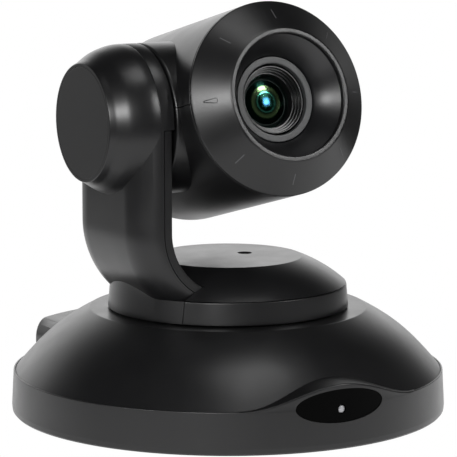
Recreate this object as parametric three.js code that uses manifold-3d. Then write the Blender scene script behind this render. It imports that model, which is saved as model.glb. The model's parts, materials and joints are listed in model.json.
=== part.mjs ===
// A tabletop pan-tilt-zoom camera, in millimetres.
// +Z is up and the lens looks along -Y. The origin is the centre of the base on the surface it stands on.
import * as THREE from "three";
import { mergeVertices } from "three/addons/utils/BufferGeometryUtils.js";
import Module from "manifold-3d";

const wasm = await Module();
wasm.setup();

// ---------------------------------------------------------------- driving dimensions

const gap = 0.3; // between pieces that touch or turn past each other
const facets = { shell: 48, barrel: 36, lens: 24, bend: 32, small: 16, screw: 8 };

const feet = { standoff: 1, radius: 6, edge: 0.5, circle: 68 };

const base = {
  radius: 90, // of the band
  flare: 0.8, // extra radius just above the bottom edge
  flareHeight: 2.6,
  bandHeight: 17.2,
  lip: 0.8, // width of the small shoulder where the dome meets the band
  annulusRadius: 58, // edge of the flat ring round the turret
  annulusHeight: 42.9, // above the band's bottom edge
  turretHole: 44,
  wall: 2.4,
};

const brow = { halfAngle: 27, rise: 8.8, slope: 6 }; // the raised edge over the window
const windowPane = { halfWidth: 20.1, halfHeight: 6.7, height: 17.4, thickness: 2, receiverRadius: 1.6 };
const receiver = { drop: 1.5, depth: 4 };

const hood = { halfWidth: 55, height: 30.1, corner: 7 }; // over the connectors at the rear
const recess = { halfWidth: 46, bottom: 4, top: 25.5, setBack: 20, panelThickness: 1.2 };

const plate = { thickness: 1.5, recess: 0.3 };
const bosses = { radius: 4, circle: 74, angle: 30, height: 12 };
const baseScrew = { radius: 1.4, headRadius: 2.8, headHeight: 0.8 };

const board = { height: 5, thickness: 1.6, halfWidth: 39, front: 5, behindPanel: 4 };
const sockets = { depth: 20, proud: 1.7, wall: 1.6 };
const networkSocket = { x: -30, width: 16.2, height: 13.3, holeWidth: 11.8, holeHeight: 7, holeDepth: 11 };
const usbSocket = { x: -8, width: 12, height: 11, holeWidth: 8.6, holeHeight: 7.8, holeDepth: 9 };
const videoSocket = { x: 12, width: 15.4, height: 6.8, holeWidth: 14, holeHeight: 4.6, holeDepth: 9 };
const powerSocket = { x: 32, width: 9.4, height: 11, holeRadius: 3.15, pinRadius: 1.05, holeDepth: 9 };

const deck = { height: 32, thickness: 2, radius: 54, legCircle: 50, legAngle: 30, legSize: 6 };
const shaft = { radius: 11, bore: 7, bottom: 22, flangeRadius: 18, flangeThickness: 2 };
const panBearing = { radius: 15, height: 7, wall: 3.7, top: 43, hubWall: 4, ledge: 2 };
const teeth = { tipHeight: 0.75, rootDepth: 1.05, atTip: 0.12, atRoot: 0.3 };
const panDrive = { module: 1.5, gearTeeth: 48, pinionTeeth: 10, thickness: 5.5, height: 24 };
const panMotor = {
  radius: 17.5,
  height: 15,
  shaftRadius: 2,
  bossRadius: 5,
  bossHeight: 0.8,
  bore: 4,
  drop: 2,
};

const turret = {
  radius: 50.35, // at the bottom of its band
  topRadius: 49.5,
  clearance: 0.7, // above the base's flat ring
  bandHeight: 9.3,
  capHeight: 11.3,
  discRadius: 30.9,
  capSag: 0.7, // how far the cap's slope bulges
  wall: 2.2,
  flange: 6,
};
const capHole = { x: 9.3, y: 2.1, radius: 2.9, depth: 2.3, bossRadius: 4.6 };
const capScrew = { headRadius: 2.5, headHeight: 1.8, radius: 1.5 };
const frame = { thickness: 2 };

const pivotHeight = 124.8; // of the tilt axis above the surface
const tiltAtRest = 14.1; // degrees that the lens looks up

const arm = {
  halfWidth: 31,
  innerX: 43.4, // distance of the face beside the head from the pan axis
  coverThickness: 3.7,
  outerX: 57.4,
  cornerWidth: 15,
  bendRadius: 26, // of the inner face
  bendHeight: 82,
  wall: 2.2,
};
const drum = {
  // Shares of its length from the end, with how much of its full radius it has reached there.
  swell: [[0.05, 0.09], [0.11, 0.2], [0.19, 0.39], [0.3, 0.63], [0.46, 0.85], [0.62, 0.98]],
  innerX: 42.4, // end of the collar beside the head
  rimRadius: 24,
  endX: 67.7,
  radius: 31,
  collarDrop: 1.5, // the cover's top edge lies this far below the tilt axis
  wall: 2.2,
  capRadius: 22.7,
  capThickness: 2,
};
const bracket = { halfWidth: 14, offset: 4.5, thickness: 1.5, headRadius: 22 };
const tiltBearing = { radius: 10, innerX: 43.7 };
const tiltShaft = { radius: 5, flangeRadius: 14, flangeThickness: 2 };
const tiltDrive = { module: 0.75, gearTeeth: 30, pinionTeeth: 10, thickness: 3.4, innerX: 60.8 };
const tiltMotor = { radius: 8.2, shaftRadius: 1, bore: 3, drop: 1 };

const head = {
  radius: 39.7, // at the front crease
  rearRadius: 40.3,
  front: 41.3, // of the crease, ahead of the tilt axis
  rear: 48, // of the back face, behind the tilt axis
  rearRound: 12,
  hubRadius: 31,
  hubX: 41.2,
  wall: 2.2,
};
const bezel = { front: 51.4, rimRadius: 26.9, holeRadius: 24.9, rimDepth: 2, skirt: 0.9, edge: 0.5 };
const lensRing = { front: 39.2, radius: 17.4, holeRadius: 14.6, thickness: 2.3 };
const shroud = { wall: 1.2 };
const lensBarrel = { radius: 13.9, setBack: 1.6, steps: 3, stepDepth: 1.2, stepWidth: 0.7, wideLength: 9 };
const barrelNeck = { radius: 10.2, bore: 8.2 };
const frontLens = { radius: 10.9, crown: 2.4, thickness: 2.5 };

const lensFrame = {
  halfWidth: 17,
  plate: 2,
  front: 15,
  rear: -26,
  floor: 1.5,
  legSize: 6,
  legsAt: [8, -18],
  windowRadius: 6,
};
const carriage = { halfWidth: 15, halfHeight: 12.8, thickness: 3, hole: 7.5 };
const groupLens = { radius: 7.2, thickness: 4, crown: 1 };
const rods = { x: 12, y: 10, radius: 1.2 };
const screws = { radius: 1.5, motorRadius: 4.5, motorLength: 9 };
const zoomAt = 5;
const focusAt = -13;
const irisAt = -4.5;
const iris = { thickness: 1, aperture: 3 };
const sensor = { width: 9, height: 7, thickness: 1.2, setBack: 1.5, boardHalf: 14.5, boardThickness: 1.5 };

// ---------------------------------------------------------------- worked out from them

const bottom = feet.standoff;
const bandTop = bottom + base.bandHeight;
const annulusZ = bottom + base.annulusHeight;
const plateBottom = bottom + plate.recess;
const plateTop = plateBottom + plate.thickness;
const turretBottom = annulusZ + turret.clearance;
const turretBandTop = turretBottom + turret.bandHeight;
const capTop = turretBandTop + turret.capHeight;
const bendX = arm.innerX - arm.bendRadius;
const seamRadius = arm.bendRadius + arm.coverThickness;
const outerRadius = arm.outerX - bendX;
const seamX = arm.innerX + arm.coverThickness;
const bracketX = arm.innerX + bracket.offset;
const bracketRadius = bracketX - bendX;
const frameTop = arm.bendHeight - bracketRadius - bracket.thickness - gap;
const panDistance = (panDrive.module * (panDrive.gearTeeth + panDrive.pinionTeeth)) / 2;
const tiltDistance = (tiltDrive.module * (tiltDrive.gearTeeth + tiltDrive.pinionTeeth)) / 2;
const boardTop = plateTop + board.height + board.thickness;
const hoodTop = bottom + hood.height;
const panelY = base.radius - recess.setBack; // of the connectors' panel

// ---------------------------------------------------------------- finishes

const finish = (color, roughness, metalness = 0) => ({ color, roughness, metalness });
const finishes = {
  satinPlastic: finish(0x2a2a2c, 0.45),
  ringPlastic: finish(0x5c5d5f, 0.5),
  glossPlastic: finish(0x08080a, 0.12),
  lampPlastic: finish(0x8d8f92, 0.3),
  glass: finish(0x23424a, 0.05),
  rubber: finish(0x161616, 0.9),
  steel: finish(0x9b9da0, 0.35, 1),
  paintedSteel: finish(0x202123, 0.5, 0.3),
  brass: finish(0xb08a45, 0.35, 1),
  aluminium: finish(0xa9abae, 0.4, 1),
  boardGreen: finish(0x1d4a33, 0.55),
  whitePlastic: finish(0xd6d4cc, 0.5),
};

// ---------------------------------------------------------------- joining and cutting

// Triangles without the ones that collapsed when their corners were merged.
function withoutSlivers(corners) {
  const kept = [];
  for (let i = 0; i < corners.length; i += 3) {
    const [a, b, c] = [corners[i], corners[i + 1], corners[i + 2]];
    if (a !== b && b !== c && c !== a) kept.push(a, b, c);
  }
  return new Uint32Array(kept);
}

// The same triangles facing the other way.
function reversed(corners) {
  const turned = corners.slice();
  for (let i = 0; i < turned.length; i += 3) [turned[i + 1], turned[i + 2]] = [turned[i + 2], turned[i + 1]];
  return turned;
}

// A closed geometry as a solid, whichever way its faces point.
function solidOf(geometry) {
  const bare = new THREE.BufferGeometry();
  bare.setAttribute("position", geometry.getAttribute("position"));
  if (geometry.index) bare.setIndex(geometry.index);
  const merged = mergeVertices(bare, 1e-4);
  const vertProperties = merged.getAttribute("position").array;
  const triVerts = withoutSlivers(merged.index.array);
  const made = new wasm.Manifold(new wasm.Mesh({ numProp: 3, vertProperties, triVerts }));
  if (made.volume() >= 0) return made;
  return new wasm.Manifold(new wasm.Mesh({ numProp: 3, vertProperties, triVerts: reversed(triVerts) }));
}

function geometryOf(solid) {
  const mesh = solid.getMesh();
  const geometry = new THREE.BufferGeometry();
  geometry.setAttribute("position", new THREE.BufferAttribute(mesh.vertProperties, 3));
  geometry.setIndex(new THREE.BufferAttribute(mesh.triVerts, 1));
  return geometry;
}

const join = (first, ...others) =>
  geometryOf(others.reduce((made, other) => made.add(solidOf(other)), solidOf(first)));
const cut = (first, ...tools) =>
  geometryOf(tools.reduce((made, tool) => made.subtract(solidOf(tool)), solidOf(first)));
const common = (first, ...others) =>
  geometryOf(others.reduce((made, other) => made.intersect(solidOf(other)), solidOf(first)));

// ---------------------------------------------------------------- plain shapes

// [radius, height] points turned round the Z axis.
function turned(profile, segments) {
  const points = profile.map(([radius, height]) => new THREE.Vector2(radius, height));
  const open = points[0].x > 0 || points.at(-1).x > 0;
  if (open) points.push(points[0].clone());
  return new THREE.LatheGeometry(points, segments).rotateX(Math.PI / 2);
}

const rod = (radius, low, high, segments = facets.small) =>
  turned([[0, low], [radius, low], [radius, high], [0, high]], segments);

const ring = (outer, inner, low, high, segments = facets.small) =>
  turned([[inner, low], [outer, low], [outer, high], [inner, high]], segments);

function block([x0, x1], [y0, y1], [z0, z1]) {
  const box = new THREE.BoxGeometry(x1 - x0, y1 - y0, z1 - z0);
  return box.translate((x0 + x1) / 2, (y0 + y1) / 2, (z0 + z1) / 2);
}

// An outline in X and Y raised from one height to another.
function prism(points, low, high) {
  const shape = new THREE.Shape(points);
  const raised = new THREE.ExtrudeGeometry(shape, { depth: high - low, bevelEnabled: false });
  return raised.translate(0, 0, low);
}

// An outline in X and Z carried along Y from near to far.
const prismAlongY = (points, near, far) => prism(points, -far, -near).rotateX(Math.PI / 2);

// Turns a shape built round Z so that its height becomes the distance out along -X.
const outboard = (geometry) => geometry.rotateY(-Math.PI / 2);

// A quarter of an ellipse from one angle to another, in degrees.
function arc(centreX, centreY, radiusX, radiusY, from, to, steps) {
  const curve = new THREE.EllipseCurve(
    centreX, centreY, radiusX, radiusY,
    THREE.MathUtils.degToRad(from), THREE.MathUtils.degToRad(to), to < from,
  );
  return curve.getPoints(steps);
}

// Straight-sided stub teeth. Heights are shares of the module, and half widths are shares of a tooth's step.
// The first tooth, or the first space, points along +X.
function gear(drive, count, bore, spaceFirst) {
  const pitchRadius = (drive.module * count) / 2;
  const tip = pitchRadius + teeth.tipHeight * drive.module;
  const root = pitchRadius - teeth.rootDepth * drive.module;
  const step = (2 * Math.PI) / count;
  const { atRoot, atTip } = teeth;
  const outline = [];
  for (let tooth = 0; tooth < count; tooth += 1) {
    const middle = (tooth + (spaceFirst ? 0.5 : 0)) * step;
    for (const [radius, share] of [[root, -atRoot], [tip, -atTip], [tip, atTip], [root, atRoot]]) {
      const angle = middle + share * step;
      outline.push(new THREE.Vector2(radius * Math.cos(angle), radius * Math.sin(angle)));
    }
  }
  const wheel = prism(outline, 0, drive.thickness);
  return bore > 0 ? cut(wheel, rod(bore, -1, drive.thickness + 1)) : wheel;
}

function piece(name, geometry, material) {
  const shown = geometryOf(solidOf(geometry)).toNonIndexed();
  shown.computeVertexNormals();
  const mesh = new THREE.Mesh(shown, new THREE.MeshStandardMaterial(finishes[material]));
  mesh.name = name;
  return mesh;
}

function at(mesh, x, y, z) {
  mesh.position.set(x, y, z);
  return mesh;
}

// ---------------------------------------------------------------- base

// The dome and band as a solid, set in from the outer surface. A solid that is set in reaches below the edge.
function domeBody(inset) {
  const crease = new THREE.Vector2(base.annulusRadius, annulusZ);
  const edge = new THREE.Vector2(base.radius - base.lip, bandTop - 0.2);
  const run = edge.x - crease.x;
  const fall = crease.y - edge.y;
  const slope = new THREE.CubicBezierCurve(
    crease,
    new THREE.Vector2(crease.x + 0.444 * run, crease.y - 0.282 * fall),
    new THREE.Vector2(edge.x - 0.364 * run, edge.y + 0.517 * fall),
    edge,
  );
  const steps = inset > 0 ? 5 : 8;
  const crown = [];
  for (let step = 0; step <= steps; step += 1) {
    const point = slope.getPoint(step / steps);
    const along = slope.getTangent(step / steps);
    crown.push([point.x + inset * along.y, point.y - inset * along.x]);
  }
  const low = inset > 0 ? bottom - 1 : bottom;
  const band = inset > 0
    ? [[base.radius - inset, bandTop - inset], [base.radius - inset, low]]
    : [[base.radius - 0.3, bandTop], [base.radius, bandTop - 0.4],
       [base.radius + base.flare, bottom + base.flareHeight], [base.radius + 0.2, bottom]];
  return turned([[0, annulusZ - inset], ...crown, ...band, [0, low]], facets.shell);
}

// The wall that rises over the window, as a solid set in from its outer surface.
function browBody(inset) {
  const steps = 12;
  const outline = [];
  for (let step = 0; step <= steps; step += 1) {
    const angle = brow.halfAngle * (1 - (2 * step) / steps);
    const lift = 0.5 * brow.rise * (1 + Math.cos((Math.PI * angle) / brow.halfAngle));
    const x = base.radius * Math.sin(THREE.MathUtils.degToRad(angle));
    outline.push(new THREE.Vector2(x, bandTop + lift - inset));
  }
  const side = outline[0].x;
  const low = bandTop - inset - 2;
  outline.push(new THREE.Vector2(-side, low), new THREE.Vector2(side, low));
  const front = -base.radius - 2;
  const raised = prismAlongY(outline, front, -0.5 * base.radius)
    .translate(0, -front, -bandTop)
    .rotateX(THREE.MathUtils.degToRad(brow.slope))
    .translate(0, front, bandTop);
  return common(raised, rod(base.radius - inset, bottom, annulusZ, facets.shell));
}

// The wall that rises round the connectors at the rear, as a solid set in from its outer surface.
function hoodBody(inset) {
  const half = hood.halfWidth - inset;
  const top = hoodTop - inset;
  const corner = hood.corner - inset;
  const low = bandTop - inset - 2;
  const outline = [
    new THREE.Vector2(-half, low),
    new THREE.Vector2(half, low),
    ...arc(half - corner, top - corner, corner, corner, 0, 90, 4),
    ...arc(corner - half, top - corner, corner, corner, 90, 180, 4),
  ];
  const raised = prismAlongY(outline, 0.3 * base.radius, base.radius + 2);
  return common(raised, rod(base.radius - inset, bottom, annulusZ, facets.shell));
}

// The oval of the window carried along Y, smaller or larger than the opening by the given amount.
function windowOval(extra, segments) {
  const outline = arc(0, bottom + windowPane.height,
    windowPane.halfWidth + extra, windowPane.halfHeight + extra, 0, 360, segments);
  outline.pop();
  return prismAlongY(outline, -base.radius - 5, -0.8 * base.radius);
}

function bossPlaces() {
  return [bosses.angle, 180 - bosses.angle, 180 + bosses.angle, -bosses.angle].map((degrees) => {
    const angle = THREE.MathUtils.degToRad(degrees);
    return [bosses.circle * Math.cos(angle), bosses.circle * Math.sin(angle)];
  });
}

function baseHousing() {
  const outside = join(domeBody(0), browBody(0), hoodBody(0));
  const inside = join(domeBody(base.wall), browBody(base.wall), hoodBody(base.wall));
  const rearOpening = block(
    [-recess.halfWidth, recess.halfWidth],
    [panelY, base.radius + 5],
    [bottom + recess.bottom, bottom + recess.top],
  );
  let shell = cut(outside, inside, windowOval(0, 28), rearOpening,
    rod(base.turretHole, annulusZ - 2 * base.wall, annulusZ + 1, facets.shell));
  const underDome = domeBody(base.wall / 2);
  for (const [x, y] of bossPlaces()) {
    const post = rod(bosses.radius, plateTop + gap, annulusZ).translate(x, y, 0);
    shell = join(shell, common(post, underDome));
    shell = cut(shell, rod(baseScrew.radius + gap, 0, plateTop + bosses.height + 1, facets.screw)
      .translate(x, y, 0));
  }
  return shell;
}

function basePlate() {
  const radius = base.radius - base.wall - gap;
  let disc = rod(radius, plateBottom, plateTop, facets.shell);
  for (const [x, y] of bossPlaces()) {
    disc = cut(disc, rod(baseScrew.radius + gap, 0, plateTop + 1, facets.screw).translate(x, y, 0));
  }
  return disc;
}

function baseScrewShape() {
  const top = plateTop + bosses.height;
  const headTop = plateBottom - gap;
  return join(
    rod(baseScrew.headRadius, headTop - baseScrew.headHeight, headTop, facets.screw),
    rod(baseScrew.radius, headTop - baseScrew.headHeight / 2, top, facets.screw),
  );
}

function foot() {
  const top = plateBottom - gap;
  const { radius, edge } = feet;
  return turned([[0, 0], [radius - edge, 0], [radius, edge], [radius, top], [0, top]], facets.small);
}

function irWindow() {
  const outer = base.radius - gap;
  const band = ring(outer, outer - windowPane.thickness, bottom, annulusZ, facets.shell);
  const oval = windowOval(-gap, 28);
  const hole = rod(windowPane.receiverRadius + gap, 0.8 * base.radius, base.radius + 5, facets.screw)
    .rotateX(Math.PI / 2)
    .translate(0, 0, bottom + windowPane.height - receiver.drop);
  return cut(common(band, oval), hole);
}

function irReceiver() {
  const radius = windowPane.receiverRadius;
  const tip = base.radius - gap;
  const profile = [[0, tip - receiver.depth], [radius, tip - receiver.depth], [radius, tip - radius / 2]];
  const dome = arc(0, tip - radius / 2, radius, radius / 2, 0, 90, 4).slice(1, -1).map(({ x, y }) => [x, y]);
  return turned([...profile, ...dome, [0, tip]], facets.screw)
    .rotateX(Math.PI / 2)
    .translate(0, 0, bottom + windowPane.height - receiver.drop);
}

function socketPlace(socket) {
  const rear = panelY + recess.panelThickness + sockets.proud;
  const low = boardTop + gap;
  return {
    x: [socket.x - socket.width / 2, socket.x + socket.width / 2],
    y: [rear - sockets.depth, rear],
    z: [low, low + socket.height],
    rear,
    middle: low + socket.height / 2,
  };
}

function squareSocket(socket) {
  const place = socketPlace(socket);
  const hole = block(
    [socket.x - socket.holeWidth / 2, socket.x + socket.holeWidth / 2],
    [place.rear - socket.holeDepth, place.rear + 1],
    [place.middle - socket.holeHeight / 2, place.middle + socket.holeHeight / 2],
  );
  return cut(block(place.x, place.y, place.z), hole);
}

function roundSocket(socket) {
  const place = socketPlace(socket);
  const along = (radius, from, to) =>
    rod(radius, -to, -from).rotateX(Math.PI / 2).translate(socket.x, 0, place.middle);
  const well = along(socket.holeRadius, place.rear - socket.holeDepth, place.rear + 1);
  const pin = along(socket.pinRadius, place.rear - socket.holeDepth - 1, place.rear - 1);
  return join(cut(block(place.x, place.y, place.z), well), pin);
}

function rearPanel() {
  const far = panelY + recess.panelThickness;
  const inset = base.wall + gap;
  const room = join(domeBody(inset), hoodBody(inset));
  const top = bottom + recess.top + 1;
  const holes = [networkSocket, usbSocket, videoSocket, powerSocket].map((socket) => {
    const place = socketPlace(socket);
    const grown = ([low, high]) => [low - gap, high + gap];
    return block(grown(place.x), [panelY - 1, far + 1], grown(place.z));
  });
  const sheet = block([-hood.halfWidth, hood.halfWidth], [panelY, far], [plateTop + gap, top]);
  return cut(common(sheet, room), ...holes);
}

function mainBoard() {
  const low = plateTop + board.height;
  const rear = panelY - board.behindPanel;
  const sheet = block([-board.halfWidth, board.halfWidth], [board.front, rear], [low, boardTop]);
  const chip = (x, y, half, height) =>
    block([x - half, x + half], [y - half, y + half], [low + 0.5, boardTop + height]);
  return join(sheet, chip(-14, 22, 8, 2), chip(12, 18, 6, 1.6), chip(14, 38, 4, 8), chip(-24, 38, 5, 3));
}

function legPlaces() {
  return [deck.legAngle, 180 - deck.legAngle, 180 + deck.legAngle, -deck.legAngle].map((degrees) => {
    const angle = THREE.MathUtils.degToRad(degrees);
    return [deck.legCircle * Math.cos(angle), deck.legCircle * Math.sin(angle)];
  });
}

function baseChassis() {
  const hubRadius = panBearing.radius + panBearing.hubWall;
  const floorHole = panBearing.radius - panBearing.ledge;
  const half = deck.legSize / 2;
  const legs = legPlaces().map(([x, y]) =>
    block([x - half, x + half], [y - half, y + half], [plateTop + gap, deck.height + 0.5]));
  return cut(
    join(
      rod(deck.radius, deck.height, deck.height + deck.thickness, facets.barrel),
      rod(hubRadius, deck.height, panBearing.top, facets.barrel),
      ...legs,
    ),
    rod(panBearing.radius + gap, panBearing.top - panBearing.height - gap, panBearing.top + 1, facets.barrel),
    rod(floorHole, deck.height - 1, panBearing.top, facets.barrel),
  );
}

const panBearingRing = () => ring(panBearing.radius, panBearing.radius - panBearing.wall,
  panBearing.top - panBearing.height, panBearing.top, facets.barrel);

function panMotorBody() {
  const top = panDrive.height - panMotor.drop;
  return cut(
    join(
      rod(panMotor.radius, top - panMotor.height, top),
      rod(panMotor.bossRadius, top - 1, top + panMotor.bossHeight),
    ),
    rod(panMotor.shaftRadius + gap, top - panMotor.bore, top + panMotor.bossHeight + 1, facets.screw),
  );
}

function panPinion() {
  return join(
    gear(panDrive, panDrive.pinionTeeth, 0, true),
    rod(panMotor.shaftRadius, 1 - panMotor.drop - panMotor.bore, 1, facets.screw),
  );
}

function baseGroup() {
  const group = new THREE.Group();
  group.add(piece("base_housing", baseHousing(), "satinPlastic"));
  group.add(piece("base_plate", basePlate(), "paintedSteel"));
  group.add(piece("ir_window", irWindow(), "glossPlastic"));
  group.add(piece("ir_receiver", irReceiver(), "lampPlastic"));
  const offset = feet.circle * Math.SQRT1_2;
  group.add(at(piece("foot_front_left", foot(), "rubber"), -offset, -offset, 0));
  group.add(at(piece("foot_front_right", foot(), "rubber"), offset, -offset, 0));
  group.add(at(piece("foot_rear_left", foot(), "rubber"), -offset, offset, 0));
  group.add(at(piece("foot_rear_right", foot(), "rubber"), offset, offset, 0));
  bossPlaces().forEach(([x, y], index) => {
    group.add(at(piece(`base_screw_${index + 1}`, baseScrewShape(), "steel"), x, y, 0));
  });
  group.add(piece("rear_panel", rearPanel(), "paintedSteel"));
  group.add(piece("network_socket", squareSocket(networkSocket), "steel"));
  group.add(piece("usb_socket", squareSocket(usbSocket), "steel"));
  group.add(piece("video_socket", squareSocket(videoSocket), "steel"));
  group.add(piece("power_socket", roundSocket(powerSocket), "glossPlastic"));
  group.add(piece("main_board", mainBoard(), "boardGreen"));
  group.add(piece("base_chassis", baseChassis(), "aluminium"));
  group.add(piece("pan_bearing", panBearingRing(), "steel"));
  group.add(at(piece("pan_motor", panMotorBody(), "paintedSteel"), 0, -panDistance, 0));
  const pinion = at(piece("pan_pinion", panPinion(), "brass"), 0, -panDistance, panDrive.height);
  pinion.rotation.z = Math.PI / 2;
  group.add(pinion);
  return group;
}

// ---------------------------------------------------------------- turret

// The cap as a solid, set in from its outer surface.
function capBody(inset) {
  const rim = turret.topRadius - 0.2;
  const low = turretBandTop + gap;
  const under = bottom;
  const top = capTop - inset;
  const middle = [(rim + turret.discRadius) / 2 + turret.capSag, (low + capTop) / 2 + turret.capSag];
  return turned([
    [0, under],
    [rim - inset, under],
    [rim - inset, low - 0.3 * inset],
    [middle[0] - 0.5 * inset, middle[1] - 0.85 * inset],
    [turret.discRadius - 0.3 * inset, top],
    [0, top],
  ], facets.shell);
}

// The arm's outline across its width, as distances from the bend's axis, set in from the outer surface.
function armOutline(inset, innermost) {
  const half = arm.halfWidth - inset;
  const outer = outerRadius - inset;
  const depth = outer - seamRadius;
  const width = arm.cornerWidth - inset;
  return [
    new THREE.Vector2(innermost, -half),
    ...arc(seamRadius, width - half, depth, width, -90, 0, 4),
    ...arc(seamRadius, half - width, depth, width, 0, 90, 4),
    new THREE.Vector2(innermost, half),
  ];
}

// An outline carried down the arm: straight from a height to the bend, then a quarter turn inward.
function armSweep(outline, top) {
  const placed = outline.map(({ x, y }) => new THREE.Vector2(-bendX - x, y));
  const straight = prism(placed, arm.bendHeight - 0.01, top);
  const closed = [...outline, outline[0]];
  const reach = outerRadius + 20;
  const bend = common(
    new THREE.LatheGeometry(closed, facets.bend).translate(-bendX, 0, arm.bendHeight),
    block([-bendX - reach, -bendX], [-reach, reach], [arm.bendHeight - reach, arm.bendHeight]),
  );
  return join(straight, bend);
}

function flatOutline(inner, outer, half) {
  return [
    new THREE.Vector2(inner, -half),
    new THREE.Vector2(outer, -half),
    new THREE.Vector2(outer, half),
    new THREE.Vector2(inner, half),
  ];
}

// The round drum as a solid, set in from its outer surface.
function drumBody(inset) {
  const length = drum.endX - drum.innerX;
  const bulge = drum.radius - drum.rimRadius;
  const end = inset > 0 ? drum.endX - drum.capThickness - gap : drum.endX;
  const start = inset > 0 ? drum.innerX - 1 : drum.innerX;
  const curve = drum.swell
    .map(([share, reached]) => [drum.rimRadius + bulge * reached - inset, drum.endX - share * length])
    .filter(([, distance]) => distance < end);
  const rim = inset > 0 ? curve[0][0] : drum.rimRadius;
  return outboard(turned([
    [0, end], [rim, end], ...curve, [drum.radius - inset, start], [0, start],
  ], facets.barrel)).translate(0, 0, pivotHeight);
}

const alongTiltAxis = (radius, from, to, segments = facets.small) =>
  outboard(rod(radius, from, to, segments)).translate(0, 0, pivotHeight);

// The wall of the turret's band, on the arm's side or on the other side of the seams.
function bandWall(onArmSide) {
  const wall = turned([
    [turret.radius, turretBottom],
    [turret.topRadius, turretBandTop],
    [turret.topRadius - turret.wall, turretBandTop],
    [turret.topRadius - turret.wall, turretBottom + turret.wall],
    [turret.topRadius - turret.flange, turretBottom + turret.wall],
    [turret.topRadius - turret.flange, turretBottom],
  ], facets.shell);
  const seam = arm.halfWidth + gap + (onArmSide ? 0 : gap);
  const side = block([-2 * turret.radius, 0], [-seam, seam], [0, capTop]);
  return onArmSide ? common(wall, side) : cut(wall, side);
}

function armOuterShell() {
  const outside = join(
    drumBody(0),
    armSweep(armOutline(0, seamRadius), pivotHeight),
  );
  const overhang = ring(2 * turret.radius, turret.topRadius, 0, turretBandTop, facets.shell);
  const half = arm.halfWidth + gap;
  const skirt = cut(
    common(
      rod(turret.topRadius, turretBandTop - turret.wall, capTop, facets.shell),
      block([-2 * turret.radius, -bendX], [-half, half], [0, capTop]),
    ),
    new THREE.CylinderGeometry(outerRadius - 0.5, outerRadius - 0.5, 4 * half, facets.bend)
      .translate(-bendX, 0, arm.bendHeight),
  );
  const shelf = common(
    rod(turret.topRadius, turretBandTop - turret.wall, turretBandTop, facets.shell),
    block([-2 * turret.radius, -bendX - 0.6 * seamRadius], [-half, half], [0, capTop]),
  );
  const rooted = cut(outside, capBody(turret.wall + gap), overhang);
  const body = join(rooted, bandWall(true), skirt, shelf);
  const coverTop = pivotHeight - drum.collarDrop + gap;
  return cut(
    body,
    drumBody(drum.wall),
    armSweep(armOutline(arm.wall, seamRadius - 2), pivotHeight),
    block([-seamX, 0], [-2 * drum.radius, 2 * drum.radius], [pivotHeight - drum.radius - 1, coverTop]),
    alongTiltAxis(drum.capRadius, drum.endX - drum.capThickness - 2 * gap, drum.endX + 1, facets.barrel),
  );
}

function armInnerCover() {
  const coverTop = pivotHeight - drum.collarDrop;
  const strip = armSweep(flatOutline(arm.bendRadius, seamRadius - gap, arm.halfWidth), coverTop);
  const disc = alongTiltAxis(drum.radius - drum.wall - gap, seamX - gap - 2, seamX - gap, facets.barrel);
  return cut(
    join(cut(strip, capBody(turret.wall + gap)), disc),
    alongTiltAxis(tiltBearing.radius + gap, 0, drum.endX),
  );
}

const drumEndCap = () => alongTiltAxis(
  drum.capRadius - gap, drum.endX - drum.capThickness, drum.endX, facets.barrel);

const turretRing = () => bandWall(false);

function turretCap() {
  const armHalf = arm.halfWidth + gap;
  const armRoom = common(
    cut(
      block([-2 * turret.radius, -bendX], [-armHalf, armHalf], [0, arm.bendHeight]),
      new THREE.CylinderGeometry(arm.bendRadius - gap, arm.bendRadius - gap, 3 * armHalf, facets.bend)
        .translate(-bendX, 0, arm.bendHeight),
    ),
    block([-2 * turret.radius, -bendX], [-armHalf, armHalf], [0, capTop + 1]),
  );
  const lid = cut(
    common(capBody(0), rod(turret.radius, turretBandTop + gap, capTop + 1, facets.shell)),
    common(capBody(turret.wall), rod(turret.radius, 0, capTop, facets.shell)),
  );
  const boss = rod(capHole.bossRadius, frameTop + gap, capTop - 0.5).translate(capHole.x, capHole.y, 0);
  const pocket = rod(capHole.radius, capTop - capHole.depth - capScrew.headHeight - gap, capTop + 1)
    .translate(capHole.x, capHole.y, 0);
  const bore = rod(capScrew.radius + gap, 0, capTop, facets.screw).translate(capHole.x, capHole.y, 0);
  return cut(join(cut(lid, armRoom), boss), pocket, bore);
}

function capScrewShape() {
  const headTop = capTop - capHole.depth;
  const shape = join(
    rod(capScrew.headRadius, headTop - capScrew.headHeight, headTop, facets.screw),
    rod(capScrew.radius, frameTop + 2 * gap, headTop - 0.5, facets.screw),
  );
  return cut(shape, rod(1, headTop - 1, headTop + 1, 6));
}

function turretFrame() {
  const radius = turret.topRadius - turret.wall - gap;
  const disc = rod(radius, frameTop - frame.thickness, frameTop, facets.barrel);
  return cut(disc, rod(shaft.bore, 0, capTop));
}

function panShaft() {
  const top = frameTop - frame.thickness - gap;
  const flangeBottom = top - shaft.flangeThickness;
  return cut(
    join(
      rod(shaft.radius, shaft.bottom, top),
      rod(shaft.flangeRadius, flangeBottom, top),
    ),
    rod(shaft.bore, 0, capTop),
  );
}

function armBracket() {
  const outer = bracketRadius + bracket.thickness;
  const leg = armSweep(flatOutline(bracketRadius, outer, bracket.halfWidth), pivotHeight);
  const plateRound = alongTiltAxis(bracket.headRadius, bracketX, bracketX + bracket.thickness, facets.barrel);
  return cut(join(leg, plateRound), alongTiltAxis(tiltBearing.radius + gap, 0, drum.endX));
}

const tiltBearingRing = () => cut(
  alongTiltAxis(tiltBearing.radius, tiltBearing.innerX, bracketX + bracket.thickness),
  alongTiltAxis(tiltShaft.radius + gap, 0, drum.endX),
);

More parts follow.
